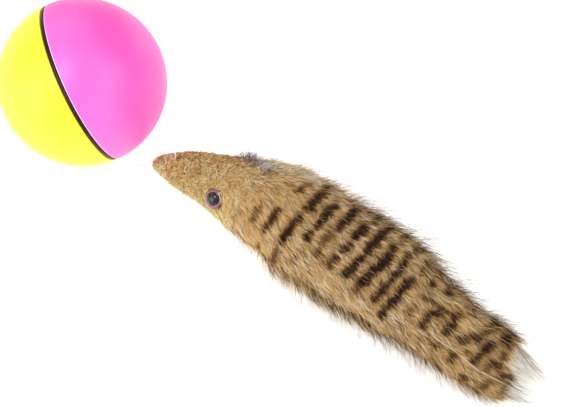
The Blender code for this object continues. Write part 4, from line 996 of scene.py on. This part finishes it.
def fur_length(
    name, count, low, high, seed, long, thick, lift, inset, varied=1.0, pull=0.42, slant=0.0
):
    """One length of the long fur. A slant draws its far end back on the +Y side."""
    roots = even_roots(count, low, high, seed)
    x, turn, draw = roots
    roots = clear_of_eyes(thinned(roots, x < high - slant * (1 + np.sin(turn))))
    x, turn, draw = roots
    count = len(x)
    bunch = bunches(roots, inset, every=9)
    degrees = np.degrees(turn)
    under = rising(np.abs(degrees + 5), 50, 50)
    front = rising(x, 0.016, -0.012)
    back_end = rising(x, 0.070, 0.012)
    crest = hump(degrees, 46, 17) * rising(x, 0.020, -0.008)
    lock = hump(degrees, -22, 9) * rising(x, 0.114, 0.006)
    lower_edge = hump(degrees, -112, 26) * rising(x, 0.075, -0.02)
    patch = wander(x / MM * 0.22, degrees * 0.07, 91)
    fine = wander(x / MM * 0.9, degrees * 0.35, 92)
    own = draw.normal(0, 0.19, count) + draw.normal(0, 0.15, count)[bunch]
    own = own * (1 - 0.4 * front) * varied
    # Paler low on the sides and on the crest: partly paler fur, partly painted light on shaded
    # parts
    tone = 0.60 + 0.06 * patch + 0.06 * fine + own + 0.07 * under + 0.05 * front + 0.32 * crest
    tone = tone - 0.06 * back_end * (1 - under)
    kind = draw.uniform(size=count)
    tone = tone + np.where(kind < 0.10, 0.24, np.where(kind > 0.91, -0.26, 0.0))
    comb = draw.normal(0, 0.15, count) - 0.20 * np.cos(turn) + 0.14 * patch
    comb = comb + draw.normal(0, 0.12, count)[bunch]
    start = rising(x, low, 0.012) if low < neck_low else 1.0
    scale = (0.5 + 0.5 * start) * MM
    stray = draw.uniform(size=count) < 0.06
    comb = np.where(stray, comb * 2.2, comb)
    lift = lift * scale * draw.uniform(0.4, 1.25, count) * (1 - 0.5 * lower_edge + 0.5 * crest)
    lift = lift * np.where(stray, 2.1, 1.0)
    length = long * scale * draw.uniform(0.6, 1.25, count) * np.where(stray, 1.25, 1.0)
    length = length * (1 + 0.5 * lock)
    width = thick * MM * draw.uniform(0.7, 1.3, count)
    return hairs(
        name, roots, fur_shades, length, width, lift, comb, tone, rings=4, curl=0.03, inset=inset,
        bunch=bunch, pull=pull, sag=0.03, tone_at=shaded,
    )  # fmt: skip


body_middle = (neck_high + rump_low) / 2
neck_pile = fur_length(
    "neck_pile", 27000, neck_low - 0.012, neck_high,
    seed=41, long=8.0, thick=0.19, lift=2.6, inset=0.0020,
)  # fmt: skip
fore_pile = fur_length(
    "fore_body_pile", 28000, neck_high - 0.001, body_middle,
    seed=51, long=7.8, thick=0.20, lift=2.9, inset=0.0028,
)  # fmt: skip
rear_pile = fur_length(
    "rear_body_pile", 28000, body_middle - 0.001, rump_low,
    seed=56, long=7.8, thick=0.20, lift=2.9, inset=0.0028,
)  # fmt: skip
rump_pile = fur_length(
    "rump_pile", 22000, rump_low - 0.001, rump_high,
    seed=61, long=7.8, thick=0.20, lift=2.8, inset=0.0028,
)  # fmt: skip
tail_pile = fur_length(
    "tail_pile", 28000, rump_high - 0.001, 0.1265,
    seed=71, long=9.5, thick=0.18, lift=2.0, inset=0.0032, varied=0.8, pull=0.3, slant=0.0035,
)  # fmt: skip
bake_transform(neck_pile)
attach(fore_pile, "mouse_body")
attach(rear_pile, "mouse_body")
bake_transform(rump_pile)
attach(tail_pile, "mouse_tail")


# The guard hairs
# Long, thin and stiff hairs of the same knitted pile, pale or dark, that stand out of the fur and
# past its outline, most of them at both sides.

guard_thickness = 0.15 * MM


def guard_length(name, count, low, high, seed, long, lift):
    roots = even_roots(count, low, high, seed)
    x, turn, draw = roots
    degrees = np.degrees(turn)
    beside = (np.abs(degrees - 62) < 22) | (np.abs(degrees + 112) < 22)
    keep = beside | (draw.uniform(size=count) < 0.13)
    roots = thinned(roots, keep)
    x, beside = x[keep], beside[keep]
    count = len(x)
    pale = draw.uniform(size=count) < np.where(beside & (x > 0.022), 0.30, 0.70)
    tone = np.where(pale, draw.uniform(0.72, 0.92, count), draw.uniform(0.0, 0.20, count))
    wild = beside & (draw.uniform(size=count) < 0.5)
    length = long * MM * draw.uniform(0.6, 1.3, count) * np.where(wild, 1.2, 1.0)
    width = guard_thickness * draw.uniform(0.7, 1.2, count)
    width = width * np.where(wild | (pale & ~beside), 0.7, 1.0)
    lift = lift * MM * draw.uniform(0.4, 1.7, count) * np.where(wild, 1.9, 1.0)
    comb = draw.normal(-0.10, 0.34, count)
    return hairs(
        name, roots, fur_shades, length, width, lift, comb, tone, rings=5,
        curl=np.where(wild, 0.26, 0.03), inset=0.0026, sag=0.04, spread=0.5, flat=0.3, rise=1.5,
    )  # fmt: skip


neck_guards = guard_length(
    "neck_guard_hairs", 2000, neck_low - 0.002, neck_high, seed=141, long=9.0, lift=3.6
)
body_guards = guard_length(
    "body_guard_hairs", 6200, neck_high, rump_low, seed=151, long=11.0, lift=4.6
)
rump_guards = guard_length(
    "rump_guard_hairs", 3000, rump_low, rump_high, seed=161, long=11.0, lift=4.6
)
tail_guards = guard_length(
    "tail_guard_hairs", 2400, rump_high, 0.122, seed=171, long=12.0, lift=3.8
)
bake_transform(neck_guards)
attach(body_guards, "mouse_body")
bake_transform(rump_guards)
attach(tail_guards, "mouse_tail")


# The fringe
# Untidy curly hair along both lower edges of the body, some of it white, where the knitted pile
# is left unsheared.

fringe_inset = 0.0028
roots = even_roots(20000, neck_high, rump_low, seed=191)
x, turn, draw = roots
roots = thinned(roots, np.abs(np.abs(np.degrees(turn) + 2) - 110) < 15)
x, turn, draw = roots
count = len(x)
bunch = bunches(roots, fringe_inset, every=6)
kind = draw.uniform(size=count)[bunch]
tone = np.where(kind < 0.35, 0.58, np.where(kind < 0.72, 0.14, 0.86))
tone = tone + draw.normal(0, 0.08, count)
length = draw.uniform(4.5, 11.5, count) * MM
width = draw.uniform(0.13, 0.22, count) * MM
lift = draw.uniform(2.8, 8.2, count)[bunch] * MM * draw.uniform(0.7, 1.15, count)
comb = (draw.normal(0.3, 0.8, count)[bunch] + draw.normal(0, 0.3, count)) * np.sign(turn)
fringe = hairs(
    "belly_fringe", roots, fur_shades, length, width, lift, comb, tone, rings=6, curl=0.20,
    inset=fringe_inset, bunch=bunch, pull=0.5, sag=0.06, spread=0.5, flat=0.3, rise=1.5,
)  # fmt: skip
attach(fringe, "mouse_body")


# The tail's wisps
# Hairs knitted in at the tail's end, some pale and some printed dark, that reach far past the
# cloth.

wisp_inset = 0.0030
wisps_end, dark_wisps_end = 0.1560, 0.142
roots = even_roots(540, 0.110, 0.1250, seed=181)
x, turn, draw = roots
count = len(x)
bunch = bunches(roots, wisp_inset, every=5)
degrees = np.degrees(turn)
dark_lock = np.abs(degrees + 12) < 13
pale_share = np.where(np.abs(degrees - 20) < 26, 0.9, 0.45)
pale = (draw.uniform(size=count)[bunch] < pale_share) & ~dark_lock
tone = np.where(pale, draw.uniform(0.84, 0.98, count), draw.uniform(0.0, 0.10, count))
reach = (wisps_end - x) * draw.uniform(0.35, 1.0, count) ** 0.8
short = dark_lock & (draw.uniform(size=count) < 0.7)
reach = np.where(short, np.minimum(reach, dark_wisps_end - x), reach)
width = 0.10 * MM * draw.uniform(0.6, 1.2, count)
lift = draw.uniform(0.3, 3.0, count) * MM - 0.24 * reach
comb = draw.normal(-0.03, 0.13, count)[bunch] + draw.normal(0, 0.14, count)
tail_wisps = hairs(
    "tail_wisps", roots, fur_shades, reach, width, lift, comb, tone, rings=6, curl=0.03,
    inset=wisp_inset, bunch=bunch, pull=0.08, spread=0.5, flat=0.3, rise=0.8,
)  # fmt: skip
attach(tail_wisps, "mouse_tail")


# The long pale hair
# One long, thick, pale hair of the pile that lies along the tail, over the fur.

# Its run: place along in millimetres and turn round in degrees
hair_run = (
    (92.5, -38), (95.1, -41), (99.1, -40), (103.1, -38), (108.6, -38), (114.1, -40),
    (119.6, -41), (124.1, -40), (129.1, -40), (133.0, -42), (136.5, -44),
)  # fmt: skip
hair_height = 0.3 * MM
hair_thickness = 0.28 * MM
long_hair_look = surface("long_pale_hair", 0.6)
mottle(long_hair_look, (0.62, 0.50, 0.34), (0.95, 0.88, 0.72), scale=500.0)
grain(long_hair_look, scale=4000.0, strength=0.4, depth=0.00003)
hair_x, hair_turn = np.array(hair_run).T
hair_points = on_form(hair_x * MM, np.radians(hair_turn), -hair_height)[0]
long_hair = thread("long_tail_hair", hair_points, hair_thickness, long_hair_look)
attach(long_hair, "mouse_tail")


# The grey tuft
# A fluff of grey and white acrylic hair, sewn into the cloth at the back of the head.

grey_shades = pile_colours(
    "grey_fluff",
    (
        (0.00, (0.030, 0.032, 0.045)),
        (0.35, (0.150, 0.155, 0.190)),
        (0.65, (0.520, 0.510, 0.540)),
        (1.00, (0.960, 0.940, 0.930)),
    ),
)
roots = even_roots(11000, -0.038, -0.009, seed=201)
x, turn, draw = roots
aside = (np.degrees(turn) - 47 + 1.6 * (x / MM + 30)) / 11
keep = aside**2 + ((x / MM + 23.0) / 12) ** 2 < draw.uniform(0.5, 1.2, len(x))
roots = thinned(roots, keep)
x, turn, draw = roots
count = len(x)
bunch = bunches(roots, plush_inset, every=6)
white = np.clip((x / MM + 27) / 8 - aside[keep] * 0.3, 0, 1)
tone = 0.16 + 0.84 * white + draw.normal(0, 0.18, count) + draw.normal(0, 0.32, count)[bunch]
length = draw.uniform(3.0, 7.5, count) * MM
width = draw.uniform(0.12, 0.20, count) * MM
lift = draw.uniform(2.6, 7.4, count) * MM
comb = draw.normal(0.1, 0.9, count)
tuft = hairs(
    "grey_tuft", roots, grey_shades, length, width, lift, comb, tone, rings=6, curl=0.2,
    inset=plush_inset, bunch=bunch, pull=0.5, spread=0.5, flat=0.4, rise=1.5,
)  # fmt: skip
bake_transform(tuft)


# The floor and the light
# A plain white floor in a white room, with three broad soft lamps: overhead, right and low at
# the side.

white = (1.0, 1.0, 1.0, 1.0)
floor_look = surface("white_floor", 0.9, (("Base Color", (0.88, 0.88, 0.88, 1.0)),))
nodes, links, shader = inside(floor_look)
glow = nodes.new("ShaderNodeEmission")
glow.inputs["Color"].default_value = white
glow.inputs["Strength"].default_value = 0.5
add = nodes.new("ShaderNodeAddShader")
links.new(shader.outputs["BSDF"], add.inputs[0])
links.new(glow.outputs["Emission"], add.inputs[1])
links.new(add.outputs["Shader"], nodes["Material Output"].inputs["Surface"])
floor_reach = 3.0
floor_corners = [
    (floor_reach * x, floor_reach * y, 0) for x, y in ((-1, -1), (1, -1), (1, 1), (-1, 1))
]
floor_mesh = bpy.data.meshes.new("floor")
floor_mesh.from_pydata(floor_corners, [], [(0, 1, 2, 3)])
floor = piece("floor", floor_mesh, floor_look)

# The room looks brighter to the camera, and in gloss and clear plastic, than it lights
room_light, room_seen = 0.62, 1.0
world = bpy.data.worlds.new("white_room")
scene.world = world
world.use_nodes = True
nodes, links = world.node_tree.nodes, world.node_tree.links
room = nodes["Background"]
room.inputs["Color"].default_value = white
rays = nodes.new("ShaderNodeLightPath")
seen = rays.outputs["Is Camera Ray"]
for kind in ("Is Glossy Ray", "Is Transmission Ray"):
    either = nodes.new("ShaderNodeMath")
    either.operation = "MAXIMUM"
    links.new(seen, either.inputs[0])
    links.new(rays.outputs[kind], either.inputs[1])
    seen = either.outputs["Value"]
level = nodes.new("ShaderNodeMix")
level.data_type = "FLOAT"
level.inputs["A"].default_value = room_light
level.inputs["B"].default_value = room_seen
links.new(seen, level.inputs["Factor"])
links.new(level.outputs["Result"], room.inputs["Strength"])


def soft_lamp(name, place, aim, size, power):
    data = bpy.data.lights.new(name, "AREA")
    data.shape = "RECTANGLE"
    data.size, data.size_y = size
    data.energy = power
    lamp = bpy.data.objects.new(name, data)
    lamp.location = place
    lamp.rotation_euler = (Vector(aim) - Vector(place)).to_track_quat("-Z", "Y").to_euler()
    scene.collection.objects.link(lamp)


soft_lamp("overhead_lamp", (-0.15, -0.42, 0.85), (0, 0, 0), (0.30, 0.30), power=3.3)
soft_lamp("right_lamp", (0.50, 0.15, 0.70), (0, 0, 0.02), (0.5, 0.5), power=1.8)
soft_lamp("side_lamp", (-0.36, -0.62, 0.25), (-0.03, -0.01, 0.02), (0.50, 0.42), power=2.0)

scene.view_settings.view_transform = "Standard"
